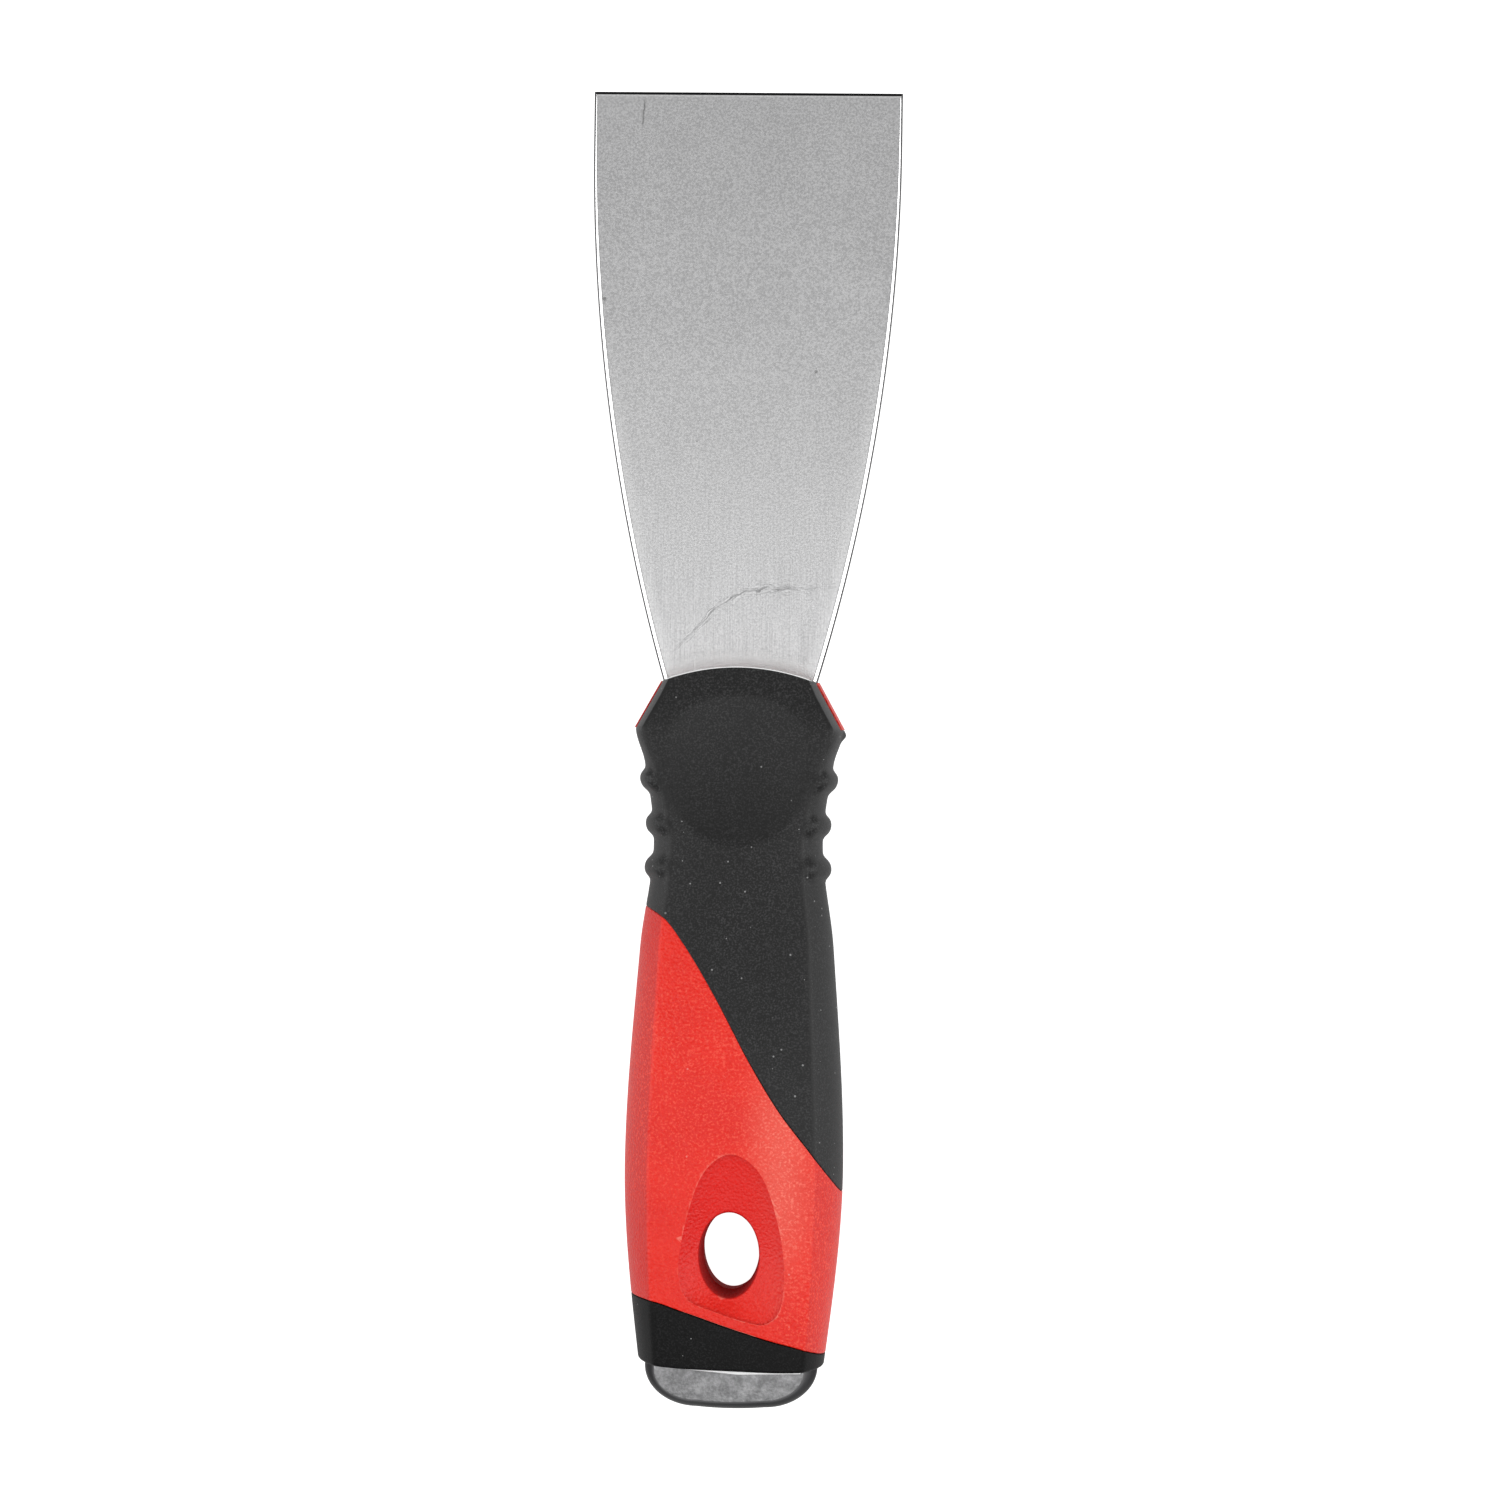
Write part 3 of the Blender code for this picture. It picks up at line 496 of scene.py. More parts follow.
def inward_of(outline):
    """The inward direction at each point of an outline that runs anticlockwise."""
    along = np.roll(outline, -1, axis=0) - np.roll(outline, 1, axis=0)
    along /= np.hypot(along[:, 0], along[:, 1])[:, None]
    return np.stack([-along[:, 1], along[:, 0]], axis=1)


recess_points = [(RECESS_HALF * x + RECESS_ASIDE, RECESS_ABOVE * y) for x, y in RECESS_SHAPE]
recess = closed_curve(recess_points, 10)
inward = inward_of(recess)
angle = np.arctan2(recess[:, 1] / HOLE_HALF[1], recess[:, 0] / HOLE_HALF[0])
hole = np.stack([HOLE_HALF[0] * np.cos(angle), HOLE_HALF[1] * np.sin(angle)], axis=1) + HOLE_OFF
print("dish outline:", len(recess), "points")


# %% The face's height under any point, and the cutter
def face_height(x, down):
    """Height of the handle's face over its middle plane."""
    crease = side_at(down) - FACET(down)
    share = np.clip((np.abs(x) - FLAT_STRIP) / (crease - FLAT_STRIP), 0, 1)
    return FACE(down) - CROWN * share**2


LIP_OVERHANG = 0.3
LIP_DEPTH = 0.65
HOLE_RIM_DEPTH = 2.6
HOLE_FLARE = 0.09  # how much wider the hole is at its rim, as a share
HOLE_RIM_ROUND = 0.5


def cutter_levels():
    """(outline, height) pairs from over the face down to the middle of the handle."""
    levels = [(recess + inward * (LIP_OVERHANG + 0.6), 0.03)]
    for turn in np.linspace(0, math.pi / 2, 6):
        narrow = LIP_OVERHANG * (1 - math.sin(turn))
        levels.append((recess + inward * narrow, -LIP_OVERHANG * (1 - math.cos(turn))))
    levels = [
        (line, face_height(line[:, 0], HOLE_DOWN - line[:, 1]) + rise) for line, rise in levels
    ]
    levels.insert(0, (levels[0][0], np.full(len(recess), 14.0)))
    lip = levels[-1][1] - (LIP_DEPTH - LIP_OVERHANG)
    rim = float(FACE(HOLE_DOWN)) - HOLE_RIM_DEPTH
    floor = recess - inward * 0.12
    for share in np.linspace(0, 1, 9):
        bowl = share**0.9
        outline = floor * (1 - share) + hole * (1 + HOLE_FLARE) * share
        levels.append((outline, lip * (1 - bowl) + rim * bowl))
    for turn in np.linspace(0, math.pi / 2, 5)[1:]:
        outline = hole * (1 + HOLE_FLARE - HOLE_FLARE * math.sin(turn))
        levels.append((outline, rim - HOLE_RIM_ROUND * (1 - math.cos(turn))))
    return levels + [(hole * 0.965, 0.25), (hole * 0.94, 0.0)]


front = cutter_levels()
stack = []
for side, levels in ((1, front), (-1, front[-2::-1])):
    for line, height in levels:
        z = np.broadcast_to(MIDDLE + side * height, len(line))
        stack.append(np.stack([line[:, 0], MOUTH_Y / MM - HOLE_DOWN + line[:, 1], z], axis=1))
cutter = wrap_grid("hang_hole_cutter", np.array(stack), close=False)
only(cutter)
bpy.ops.object.mode_set(mode="EDIT")
bpy.ops.mesh.select_all(action="DESELECT")
bpy.ops.mesh.select_mode(type="EDGE")
bpy.ops.mesh.select_non_manifold()
bpy.ops.mesh.edge_face_add()
bpy.ops.mesh.select_all(action="SELECT")
bpy.ops.mesh.normals_make_consistent(inside=False)
bpy.ops.object.mode_set(mode="OBJECT")
print("cutter:", len(cutter.data.polygons), "faces")

# %% Cut the hang hole
boolean(core, "DIFFERENCE", cutter)
finish(core, "handle_core", 35)

# %% [markdown]
# ## The collar and the cap
# The collar is the same form again, between its slanted line and the handle's end, with a rounder
# lower edge. The cap is a block with big round corners seen from the front. Its outline is filled
# and extruded to a thin plate in the middle of the handle. Both faces of the plate are then inset
# and raised again and again, by a profile that rounds the sides.

# %% The end collar
COLLAR_EDGE = 0.45
COLLAR_RISE = 0.55  # how much higher the lower edge is at the sides than in the middle
COLLAR_LOW = 0.4  # how much its middle line lies below the handle's nominal end
COLLAR_TILT = 0.4  # how much lower it is at the right side than in the middle
end_x = skin(np.full((1, COLUMNS), COLLAR_END_AT))[0, :, 0]
end_share = end_x / end_x.max()
collar_end = COLLAR_END_AT + COLLAR_LOW + COLLAR_TILT * end_share
collar_end = collar_end - COLLAR_RISE * np.abs(end_share) ** 4
collar_ends = COLLAR_DOWN + SEAM, collar_end
end_collar = solid_between("end_collar_fine", *collar_ends, 24, EDGE_ROLL, COLLAR_EDGE)

# %% The cap's outline, as a thin plate in the middle of the handle
CAP_HALF = 14.0
CAP_THICK = 8.0
CAP_CORNER = (8.5, 6.6)
CAP_COVERED = 4.6
CAP_BOW = 0.25  # how far the striking face bows out between its corners
CAP_START = 0.3  # half the thickness of the first plate
CAP_DRAWN_IN = 0.82  # the width under the collar, as a share


def cap_outline(steps=24):
    """Half the cap's outline on its right side, from under the collar to the butt's middle."""
    points = [(CAP_HALF, COLLAR_END_AT - CAP_COVERED), (CAP_HALF, COLLAR_END_AT - 0.2)]
    corner_at = HANDLE_LENGTH / MM - CAP_BOW - CAP_CORNER[1]
    for k in range(steps + 1):
        turn = math.pi / 2 * k / steps
        x = CAP_HALF - CAP_CORNER[0] * (1 - math.cos(turn))
        points.append((x, corner_at + CAP_CORNER[1] * math.sin(turn)))
    flat = points[-1][0]
    for k in range(1, 6):
        points.append((flat * (1 - k / 6), HANDLE_LENGTH / MM - CAP_BOW * (1 - k / 6) ** 2))
    return points


right = cap_outline()
outline = right + [(0.0, HANDLE_LENGTH / MM)] + [(-x, down) for x, down in reversed(right)]
form = bmesh.new()
low = MIDDLE_Z - CAP_START * MM
form.faces.new([form.verts.new((x * MM, MOUTH_Y - d * MM, low)) for x, d in outline])
mesh = bpy.data.meshes.new("hammer_cap_fine")
form.to_mesh(mesh)
form.free()
hammer_cap = bpy.data.objects.new("hammer_cap_fine", mesh)
bpy.context.scene.collection.objects.link(hammer_cap)
only(hammer_cap)
bpy.ops.object.mode_set(mode="EDIT")
bpy.ops.mesh.select_all(action="SELECT")
bpy.ops.mesh.extrude_region_move(TRANSFORM_OT_translate={"value": (0, 0, 2 * CAP_START * MM)})
bpy.ops.mesh.select_all(action="SELECT")
bpy.ops.mesh.normals_make_consistent(inside=False)
bpy.ops.object.mode_set(mode="OBJECT")

# %% Inset both facets again and again, a little higher each time, to round the sides
CAP_PROFILE = [(1.5, 0.1), (3.0, 0.36), (4.5, 0.72), (5.8, 1.1), (6.9, 1.5), (7.5, 1.75)]
CAP_PROFILE += [(7.8, 1.92), (7.95, 2.03), (CAP_THICK, 2.18)]
for side in (1, -1):
    height, inset = CAP_START, 0.0
    for next_height, next_inset in CAP_PROFILE:
        select_nothing(hammer_cap)
        for face in hammer_cap.data.polygons:
            face.select = face.normal.z * side > 0.99 and len(face.vertices) > 8
        bpy.ops.object.mode_set(mode="EDIT")
        bpy.ops.mesh.select_mode(type="FACE")
        step = {"thickness": (next_inset - inset) * MM, "depth": (next_height - height) * MM}
        bpy.ops.mesh.inset(**step, use_even_offset=True)
        bpy.ops.object.mode_set(mode="OBJECT")
        height, inset = next_height, next_inset

# %% Draw the end that the collar covers in, so that it stays inside the collar
for vertex in hammer_cap.data.vertices:
    if (MOUTH_Y - vertex.co.y) / MM < COLLAR_END_AT - 1.0:
        vertex.co.x *= CAP_DRAWN_IN
finish(hammer_cap, "hammer_cap", 20)
finish(end_collar, "end_collar", 40)

# %% [markdown]
# ## The blade
# The blade is ground thin towards its tip so that it bends there. Its side edges are ground to small
# bevels that catch the light. It is wrapped like the handle: each row is a closed outline of a thin
# plate with cut corners, wider and thinner from row to row.

# %% The blade's outline and bevels
TIP_HALF = 25.0
STRAIGHT_SIDE = 9.0
TIP_THICKNESS = 0.5
NECK_DEPTH = 6.0
TIP_GROUND_FROM = 92.55  # mm out of the mouth, where the tip's own small bevel begins
BEVEL_KNEE = 0.28  # how far in from the side edge a bevel is half as high as the face
drop = TIP_HALF - BLADE_HALF_AT_MOUTH
run = BLADE_OUT / MM - STRAIGHT_SIDE
side_radius = (run**2 + drop**2) / (2 * drop)
bevel_at = curve_through([(0, 0.76), (38, 0.74), (62, 0.62), (84, 0.46), (BLADE_OUT / MM, 0.42)])


def blade_half(out):
    """Half the blade's width, at a distance out of the mouth in millimetres."""
    along = max(run - out, 0.0)
    return TIP_HALF - side_radius + math.sqrt(side_radius**2 - along**2)


blade_rings = []
across = np.linspace(0, 1, 13)
near_tip = (*np.linspace(88.5, TIP_GROUND_FROM, 8), 92.8, BLADE_OUT / MM)
for out in (*np.linspace(-NECK_DEPTH, 88, 95), *near_tip):
    half = blade_half(out)
    thinning = (TIP_THICKNESS - TANG_THICKNESS) * max(out, 0) / (BLADE_OUT / MM)
    thick = (TANG_THICKNESS + thinning) / 2
    thick -= max(out - TIP_GROUND_FROM, 0.0) * 0.3
    bevel = bevel_at(out)
    flat = (half - bevel - 0.3) * (1 - across)
    x = np.concatenate([[half, half - BEVEL_KNEE, half - bevel], flat])
    z = np.concatenate([[0.0, thick * 0.5, thick], np.full(13, thick)])
    x = np.concatenate([x, -x[-2::-1], -x[1:], x[-2:0:-1]])
    z = np.concatenate([z, z[-2::-1], -z[1:], -z[-2:0:-1]])
    y = np.full(len(x), MOUTH_Y / MM + out)
    blade_rings.append(np.stack([x, y, z + MIDDLE], axis=1))
blade = wrap_grid("blade_fine", np.array(blade_rings))
finish(blade, "blade", 12)

# %% [markdown]
# ## Finishes
# Each finish is made of the effects that the real surface has: the grain left by the mould or the
# rolling mill, a little dust, and edges made paler by rubbing. Light and shade are painted into some
# colours as well: painted shade on facets, along a crease, in the dishes and in the hole, and painted
# highlights on rims, sharp edges, grain points, the blade and broad faces. An effect that several
# finishes share is a node group, built once with named inputs, and each material places it with its
# own values. All patterns read the piece's own coordinates in metres, so a scale of 3000 makes
# features of about a third of a millimetre.


# %% Adding a node with its settings and inputs in one call
def is_socket(value):
    return isinstance(value, bpy.types.NodeSocket)


def fill(node, inputs):
    """Link each socket to its input, and set each plain value."""
    for name, value in inputs.items():
        if is_socket(value):
            node.id_data.links.new(value, node.inputs[name])
        else:
            node.inputs[name].default_value = value


def add(tree, kind, inputs=None, **settings):
    """A new node with its settings and its inputs."""
    node = tree.nodes.new("ShaderNode" + kind)
    for name, value in settings.items():
        setattr(node, name, value)
    fill(node, inputs or {})
    return node


# %% Sums on sockets. Each one goes in the node tree of the sockets that it is given
def tree_of(*values):
    return next(value for value in values if is_socket(value)).id_data


def maths(operation, a, b=0.0, clamp=False):
    """The result of one Math node."""
    settings = {"operation": operation, "use_clamp": clamp}
    return add(tree_of(a, b), "Math", {0: a, 1: b}, **settings).outputs[0]


def times(a, *others):
    for b in others:
        a = maths("MULTIPLY", a, b)
    return a


def plus(a, b):
    return maths("ADD", a, b)


def minus(a, b):
    return maths("SUBTRACT", a, b)


def apart(a, b):
    """How far two values lie from each other."""
    return maths("ABSOLUTE", minus(a, b))


def ramp(value, low, high, to_low=0.0, to_high=1.0):
    """A value carried smoothly from one range to another."""
    inputs = {"Value": value, "From Min": low, "From Max": high, "To Min": to_low, "To Max": to_high}
    node = add(value.id_data, "MapRange", inputs, interpolation_type="SMOOTHSTEP")
    return node.outputs["Result"]


def blend(share, a, b):
    """Colour a where the share is 0 and colour b where it is 1."""
    a, b = (colour if is_socket(colour) else (*colour, 1.0) for colour in (a, b))
    inputs = {"Factor": share, 6: a, 7: b}
    return add(tree_of(share, a, b), "Mix", inputs, data_type="RGBA").outputs[2]


# %% Patterns and places
def noise(vector, scale, detail):
    inputs = {"Vector": vector, "Scale": scale, "Detail": detail}
    return add(vector.id_data, "TexNoise", inputs)


def axes(vector):
    """The X, Y and Z of a vector."""
    return add(vector.id_data, "SeparateXYZ", {"Vector": vector}).outputs


def stored(tree, name):
    """A value kept on the piece's points."""
    return add(tree, "Attribute", attribute_name=name).outputs["Fac"]


def from_bowed_mouth(spot):
    """How far a place lies beyond the mouth's bowed line, towards the tip."""
    bow = maths("DIVIDE", spot["X"], MOUTH_HALF * MM)
    bow = times(times(bow, bow), MOUTH_BOW * MM)
    return plus(minus(spot["Y"], MOUTH_Y), bow)


def group(name, inputs, outputs):
    """An empty node group: its tree, its input sockets and its output node."""
    tree = bpy.data.node_groups.new(name, "ShaderNodeTree")
    for label, kind in inputs.items():
        tree.interface.new_socket(label, in_out="INPUT", socket_type="NodeSocket" + kind)
    for label in outputs:
        tree.interface.new_socket(label, in_out="OUTPUT", socket_type="NodeSocketFloat")
    return tree, tree.nodes.new("NodeGroupInput").outputs, tree.nodes.new("NodeGroupOutput")


def use(effect, vector, **inputs):
    """Place a group in a material and give back its outputs."""
    node = vector.id_data.nodes.new("ShaderNodeGroup")
    node.node_tree = effect
    fill(node, {"Vector": vector, **inputs})
    return node.outputs


# %% Group: the grain of a moulded surface
MOULD_GRAIN, given, result = group(
    "mould_grain", {"Vector": "Vector", "Scale": "Float"}, ["Height", "Tone"]
)
fine = noise(given["Vector"], given["Scale"], 3.0)
fine.inputs["Roughness"].default_value = 0.6
coarse = noise(given["Vector"], times(given["Scale"], 0.035), 4.0)
tone = ramp(coarse.outputs["Fac"], 0.3, 0.7)
fill(result, {"Height": fine.outputs["Fac"], "Tone": tone})

# %% Group: sparse specks of dust
DUST, given, result = group(
    "dust_specks", {"Vector": "Vector", "Scale": "Float", "Amount": "Float", "Size": "Float"}, ["Mask"]
)
inputs = {"Vector": given["Vector"], "Scale": given["Scale"], "Randomness": 1.0}
cells = add(DUST, "TexVoronoi", inputs)
chance = add(DUST, "SeparateColor", {"Color": cells.outputs["Color"]})
chosen = maths("LESS_THAN", chance.outputs["Red"], given["Amount"])
size = times(given["Size"], chance.outputs["Green"])
near = maths("LESS_THAN", cells.outputs["Distance"], size)
fill(result, {"Mask": times(chosen, near)})

# %% Group: sharp edges, paled by use, and on the red also given a painted highlight
EDGE_RUB_AND_SHEEN, given, result = group(
    "edge_rub_and_sheen", {"Vector": "Vector", "Start": "Float", "Break": "Float"}, ["Mask"]
)
sharp = add(EDGE_RUB_AND_SHEEN, "NewGeometry").outputs["Pointiness"]
patches = noise(given["Vector"], given["Break"], 3.0).outputs["Fac"]
rubbed_and_sheen = ramp(minus(sharp, given["Start"]), 0.0, 0.06)
fill(result, {"Mask": times(rubbed_and_sheen, ramp(patches, 0.38, 0.62, 0.35, 1.0))})

# %% Group: fine lines left by grinding, long in one direction
GROUND_LINES, given, result = group(
    "ground_lines", {"Vector": "Vector", "Across": "Float", "Along": "Float"}, ["Height"]
)
inputs = {"X": given["Across"], "Y": given["Along"], "Z": given["Along"]}
stretch = add(GROUND_LINES, "CombineXYZ", inputs).outputs[0]
inputs = {0: given["Vector"], 1: stretch}
stretched = add(GROUND_LINES, "VectorMath", inputs, operation="MULTIPLY").outputs[0]
fill(result, {"Height": noise(stretched, 1.0, 5.0).outputs["Fac"]})
print("effects:", [tree.name for tree in bpy.data.node_groups])


# %% A new material with its shader, and the piece's own coordinates
def new_finish(name, **sockets):
    material = bpy.data.materials.new(name)
    material.use_nodes = True
    tree = material.node_tree
    shader = tree.nodes["Principled BSDF"]
    for socket, value in sockets.items():
        shader.inputs[socket.replace("_", " ")].default_value = value
    where = add(tree, "TexCoord").outputs["Object"]
    return material, tree, shader, where


def facing_of(tree):
    """1 where the surface faces straight to the front or the back, and 0 where it faces aside."""
    normal = add(tree, "TexCoord").outputs["Normal"]
    return maths("ABSOLUTE", axes(normal)["Z"])


def dress(shader, colour, roughness, height, distance):
    """Give the shader its finished colour, roughness and relief."""
    relief = {"Height": height, "Distance": distance, "Strength": 1.0}
    normal = add(shader.id_data, "Bump", relief).outputs["Normal"]
    fill(shader, {"Base Color": colour, "Roughness": roughness, "Normal": normal})


# %% [markdown]
# ### Black soft-touch plastic
# Soft-touch rubber is nearly black and reflects a wide, dim highlight. Its mould leaves a fine
# sparkle of grain, and light dust clings to it. The collar is a harder, slightly smoother black.


# %% How far each point lies past the crease between face and facet
def keep_past_crease(piece):
    place = np.empty(3 * len(piece.data.vertices))
    piece.data.vertices.foreach_get("co", place)
    place = place.reshape(-1, 3) / MM
    down = MOUTH_Y / MM - place[:, 1]
    bow = MOUTH_BOW * np.minimum(np.abs(place[:, 0]) / MOUTH_HALF, 1) ** 2
    down = np.where(down < SHOULDER_AT, (down - bow) / (1 - bow / SHOULDER_AT), down)
    past = piece.data.attributes.new("past_crease", "FLOAT", "POINT")
    past.data.foreach_set("value", np.abs(place[:, 0]) - (side_at(down) - FACET(down)))
    return place, down


keep_past_crease(soft_grip)
keep_past_crease(end_collar)


# %% The two blacks
DARKEST = (0.0005, 0.0005, 0.0005)


def black_finish(name, dark, pale, roughness, grain, gloss, seed):
    material, tree, shader, where = new_finish(name, Metallic=0.0, Specular_IOR_Level=gloss)
    inputs = {0: where, 1: (seed, seed, seed)}
    shifted = add(tree, "VectorMath", inputs, operation="ADD").outputs[0]
    mould = use(MOULD_GRAIN, shifted, Scale=grain)
    dust = use(DUST, shifted, Scale=800.0, Amount=0.30, Size=0.14)["Mask"]
    rub_and_sheen = use(EDGE_RUB_AND_SHEEN, shifted, Start=0.53, Break=400.0)["Mask"]
    speckle = times(ramp(mould["Height"], 0.46, 0.66), ramp(mould["Tone"], 0.0, 1.0, 0.75, 1.0))
    toned = blend(speckle, (dark,) * 3, (pale, pale, 1.03 * pale))
    rubbed_and_sheen = blend(times(rub_and_sheen, 0.5), toned, (0.035, 0.035, 0.036))
    dusty = blend(times(dust, 0.55), rubbed_and_sheen, (0.4, 0.4, 0.4))
    spot = axes(where)

    # painted light: the shoulder facets are painted paler, and a painted shade runs along their crease
    past_crease = stored(tree, "past_crease")
    by_shoulder = ramp(spot["Y"], MOUTH_Y - 11 * MM, MOUTH_Y - 9.5 * MM)
    lit_facet = times(ramp(past_crease, -0.05, 0.15), by_shoulder)
    worn_with_painted_light = blend(times(lit_facet, 0.55), dusty, (0.085, 0.085, 0.087))

    # painted shade: the lower part of the thumb dish is painted darker
    down = minus(MOUTH_Y - DISH_AT * MM, spot["Y"])
    radius = maths("SQRT", plus(times(spot["X"], spot["X"]), times(down, down)))
    in_dish = ramp(radius, (DISH_RADIUS - 0.5) * MM, DISH_RADIUS * MM, 1.0, 0.0)
    dish_shade = times(in_dish, ramp(down, -9 * MM, 12 * MM, 0.0, 0.45))
    worn_with_painted_light = blend(dish_shade, worn_with_painted_light, DARKEST)
    # painted shade along the crease, strongest at the shoulders
    crease_shade = times(ramp(past_crease, -0.75, -0.3), ramp(past_crease, -0.1, 0.1, 1.0, 0.0))
    crease_shade = times(crease_shade, ramp(by_shoulder, 0.0, 1.0, 0.45, 0.9))
    worn_with_painted_light = blend(crease_shade, worn_with_painted_light, DARKEST)

    # painted highlight: the rounded rim at the mouth is painted as a pale line of caught light
    rim_highlight_line = ramp(from_bowed_mouth(spot), -0.26 * MM, -0.2 * MM)
    rim = times(rim_highlight_line, ramp(facing_of(tree), 0.2, 0.4))
    with_rim_highlight = blend(rim, worn_with_painted_light, (0.9, 0.9, 0.9))
    rough = ramp(mould["Height"], 0.3, 0.7, roughness - 0.07, roughness + 0.07)
    dress(shader, with_rim_highlight, rough, mould["Height"], 0.00005)
    return material


grip_rubber = black_finish("grip_rubber_fine", 0.0005, 0.034, 0.5, 3500.0, 0.38, 0.0)
collar_rubber = black_finish("collar_rubber_fine", 0.0003, 0.014, 0.52, 3700.0, 0.16, 0.3)

# %% [markdown]
# ### Red moulded plastic
# The core is a strong red with a spark-eroded grain, like very fine leather, of two to four tenths
# of a millimetre. A painted highlight of pinkish points on the grain's raised spots stands for the
# highlight that the grain breaks up.

# %% How deep each point of the core lies below the face, for the dish and its lip
place, down = keep_past_crease(core)
below = core.data.attributes.new("below_face", "FLOAT", "POINT")
depth = face_height(place[:, 0], down) - np.abs(place[:, 2] - MIDDLE)
near = np.hypot(place[:, 0] / 10.5, (down - HOLE_DOWN + 2) / 16.5) < 1
below.data.foreach_set("value", np.where(near, np.clip(depth, 0, 5), 0.0))
print(f"deepest point of the dish: {depth[near].max():.1f} mm")

# %% The red
red_plastic, tree, shader, where = new_finish("red_plastic_fine", Metallic=0.0, Specular_IOR_Level=0.4)
mould = use(MOULD_GRAIN, where, Scale=2600.0)
inputs = {"Vector": where, "Scale": 2300.0, "Randomness": 1.0}
pits = add(tree, "TexVoronoi", inputs, feature="SMOOTH_F1").outputs["Distance"]
leather = plus(times(mould["Height"], 0.7), pits)
dust = use(DUST, where, Scale=420.0, Amount=0.05, Size=0.11)["Mask"]
deep = blend(mould["Tone"], (0.74, 0.008, 0.0005), (0.80, 0.012, 0.001))
# painted highlight: pinkish points on the grain's raised spots, stronger at the painted sheen and
# towards the right
grain_highlights = ramp(mould["Height"], 0.48, 0.68, 0.0, 0.8)
spot = axes(where)

# %% Painted shade on the facets, darker on the left, and a broad painted sheen on the face at the right
# painted highlight: a broad paler sheen on the face, right of its middle
sheen_x = ramp(apart(spot["X"], 8 * MM), 0.0, 8 * MM, 1.0, 0.0)
sheen_y = ramp(apart(spot["Y"], -66 * MM), 4 * MM, 26 * MM, 1.0, 0.0)
on_facet = ramp(stored(tree, "past_crease"), -0.15, 0.25)
painted_sheen = times(sheen_x, sheen_y, minus(1.0, on_facet))
# painted shade: the facets are painted a deeper red, more on the left
facet_shade = times(on_facet, ramp(spot["X"], -4 * MM, 4 * MM, 0.8, 0.45))
deep = blend(facet_shade, deep, (0.54, 0.003, 0.0005))
with_painted_sheen = blend(times(painted_sheen, 0.6), deep, (0.86, 0.12, 0.08))
grain_highlight_colour = blend(painted_sheen, (0.90, 0.085, 0.05), (0.97, 0.22, 0.16))
from_waist = apart(spot["Y"], -53 * MM)
lively = maths("MAXIMUM", ramp(from_waist, 8 * MM, 26 * MM, 1.0, 0.35), painted_sheen)
lively = maths("MAXIMUM", lively, ramp(spot["X"], 4 * MM, 9 * MM, 0.0, 1.1))
toned = blend(times(grain_highlights, lively), with_painted_sheen, grain_highlight_colour)
dusty = blend(times(dust, 0.5), toned, (0.85, 0.35, 0.32))
# sharp edges paled by use, and with this strong pale share a painted highlight on sharp rims such as
# the dish lip
rub_and_sheen = use(EDGE_RUB_AND_SHEEN, where, Start=0.53, Break=350.0)["Mask"]
rubbed_and_sheen = blend(times(rub_and_sheen, 0.8), dusty, (0.9, 0.2, 0.15))

# %% Painted shade in the dish and the hole, and a painted highlight on the dish's lip
sunk = stored(tree, "below_face")
# painted shade: the dish is painted darker, most on its side towards the mouth
in_dish = ramp(sunk, 0.3, 0.7)
# painted highlight: a pale pink line along the lip, strongest on its side towards the butt
lip_highlight = times(ramp(sunk, 0.02, 0.08), ramp(sunk, 0.3, 0.5, 1.0, 0.0))
lip_low = ramp(spot["Y"], MOUTH_Y - 92 * MM, MOUTH_Y - 80 * MM, 0.9, 0.15)
dish_high = ramp(spot["Y"], MOUTH_Y - 104 * MM, MOUTH_Y - 92 * MM, 0.15, 0.85)
dish_shaded = blend(times(in_dish, dish_high), rubbed_and_sheen, (0.74, 0.003, 0.0003))
with_lip_highlight = blend(times(lip_highlight, lip_low), dish_shaded, (0.95, 0.3, 0.24))
# painted shade: the wall of the hole is painted dark
hole_y = minus(spot["Y"], MOUTH_Y - (HOLE_DOWN - HOLE_OFF[1]) * MM)
hole_y = maths("DIVIDE", hole_y, HOLE_HALF[1] * MM)
hole_x = maths("DIVIDE", minus(spot["X"], HOLE_OFF[0] * MM), HOLE_HALF[0] * MM)
in_hole = ramp(plus(times(hole_x, hole_x), times(hole_y, hole_y)), 1.0, 1.12, 1.0, 0.0)
shaded = blend(times(in_hole, 0.75), with_lip_highlight, (0.32, 0.0, 0.001))
rough = plus(ramp(mould["Height"], 0.3, 0.7, 0.34, 0.48), times(in_hole, 0.45))
dress(shader, shaded, rough, leather, 0.00013)

# %% [markdown]
# ### Ground spring steel
# The blade is satin steel. Its faces show a faint mottle, and grinding lines along its length that
# grow stronger towards the handle. A curved, scuffed line crosses it where the grinding ran out.
# The side bevels are polished. A value stored on each point, the distance from the side edge, tells
# the material where they are.

# %% Distance from the side edge, kept on the blade's points
edge_distance = blade.data.attributes.new("from_edge", "FLOAT", "POINT")
bevel_share = blade.data.attributes.new("bevel_share", "FLOAT", "POINT")
for number, vertex in enumerate(blade.data.vertices):
    out = (vertex.co.y - MOUTH_Y) / MM
    distance = max(blade_half(out) - abs(vertex.co.x) / MM, 0.0)
    edge_distance.data[number].value = distance
    bevel_share.data[number].value = distance / float(bevel_at(out))
print("edge distances kept on", len(blade.data.vertices), "points")

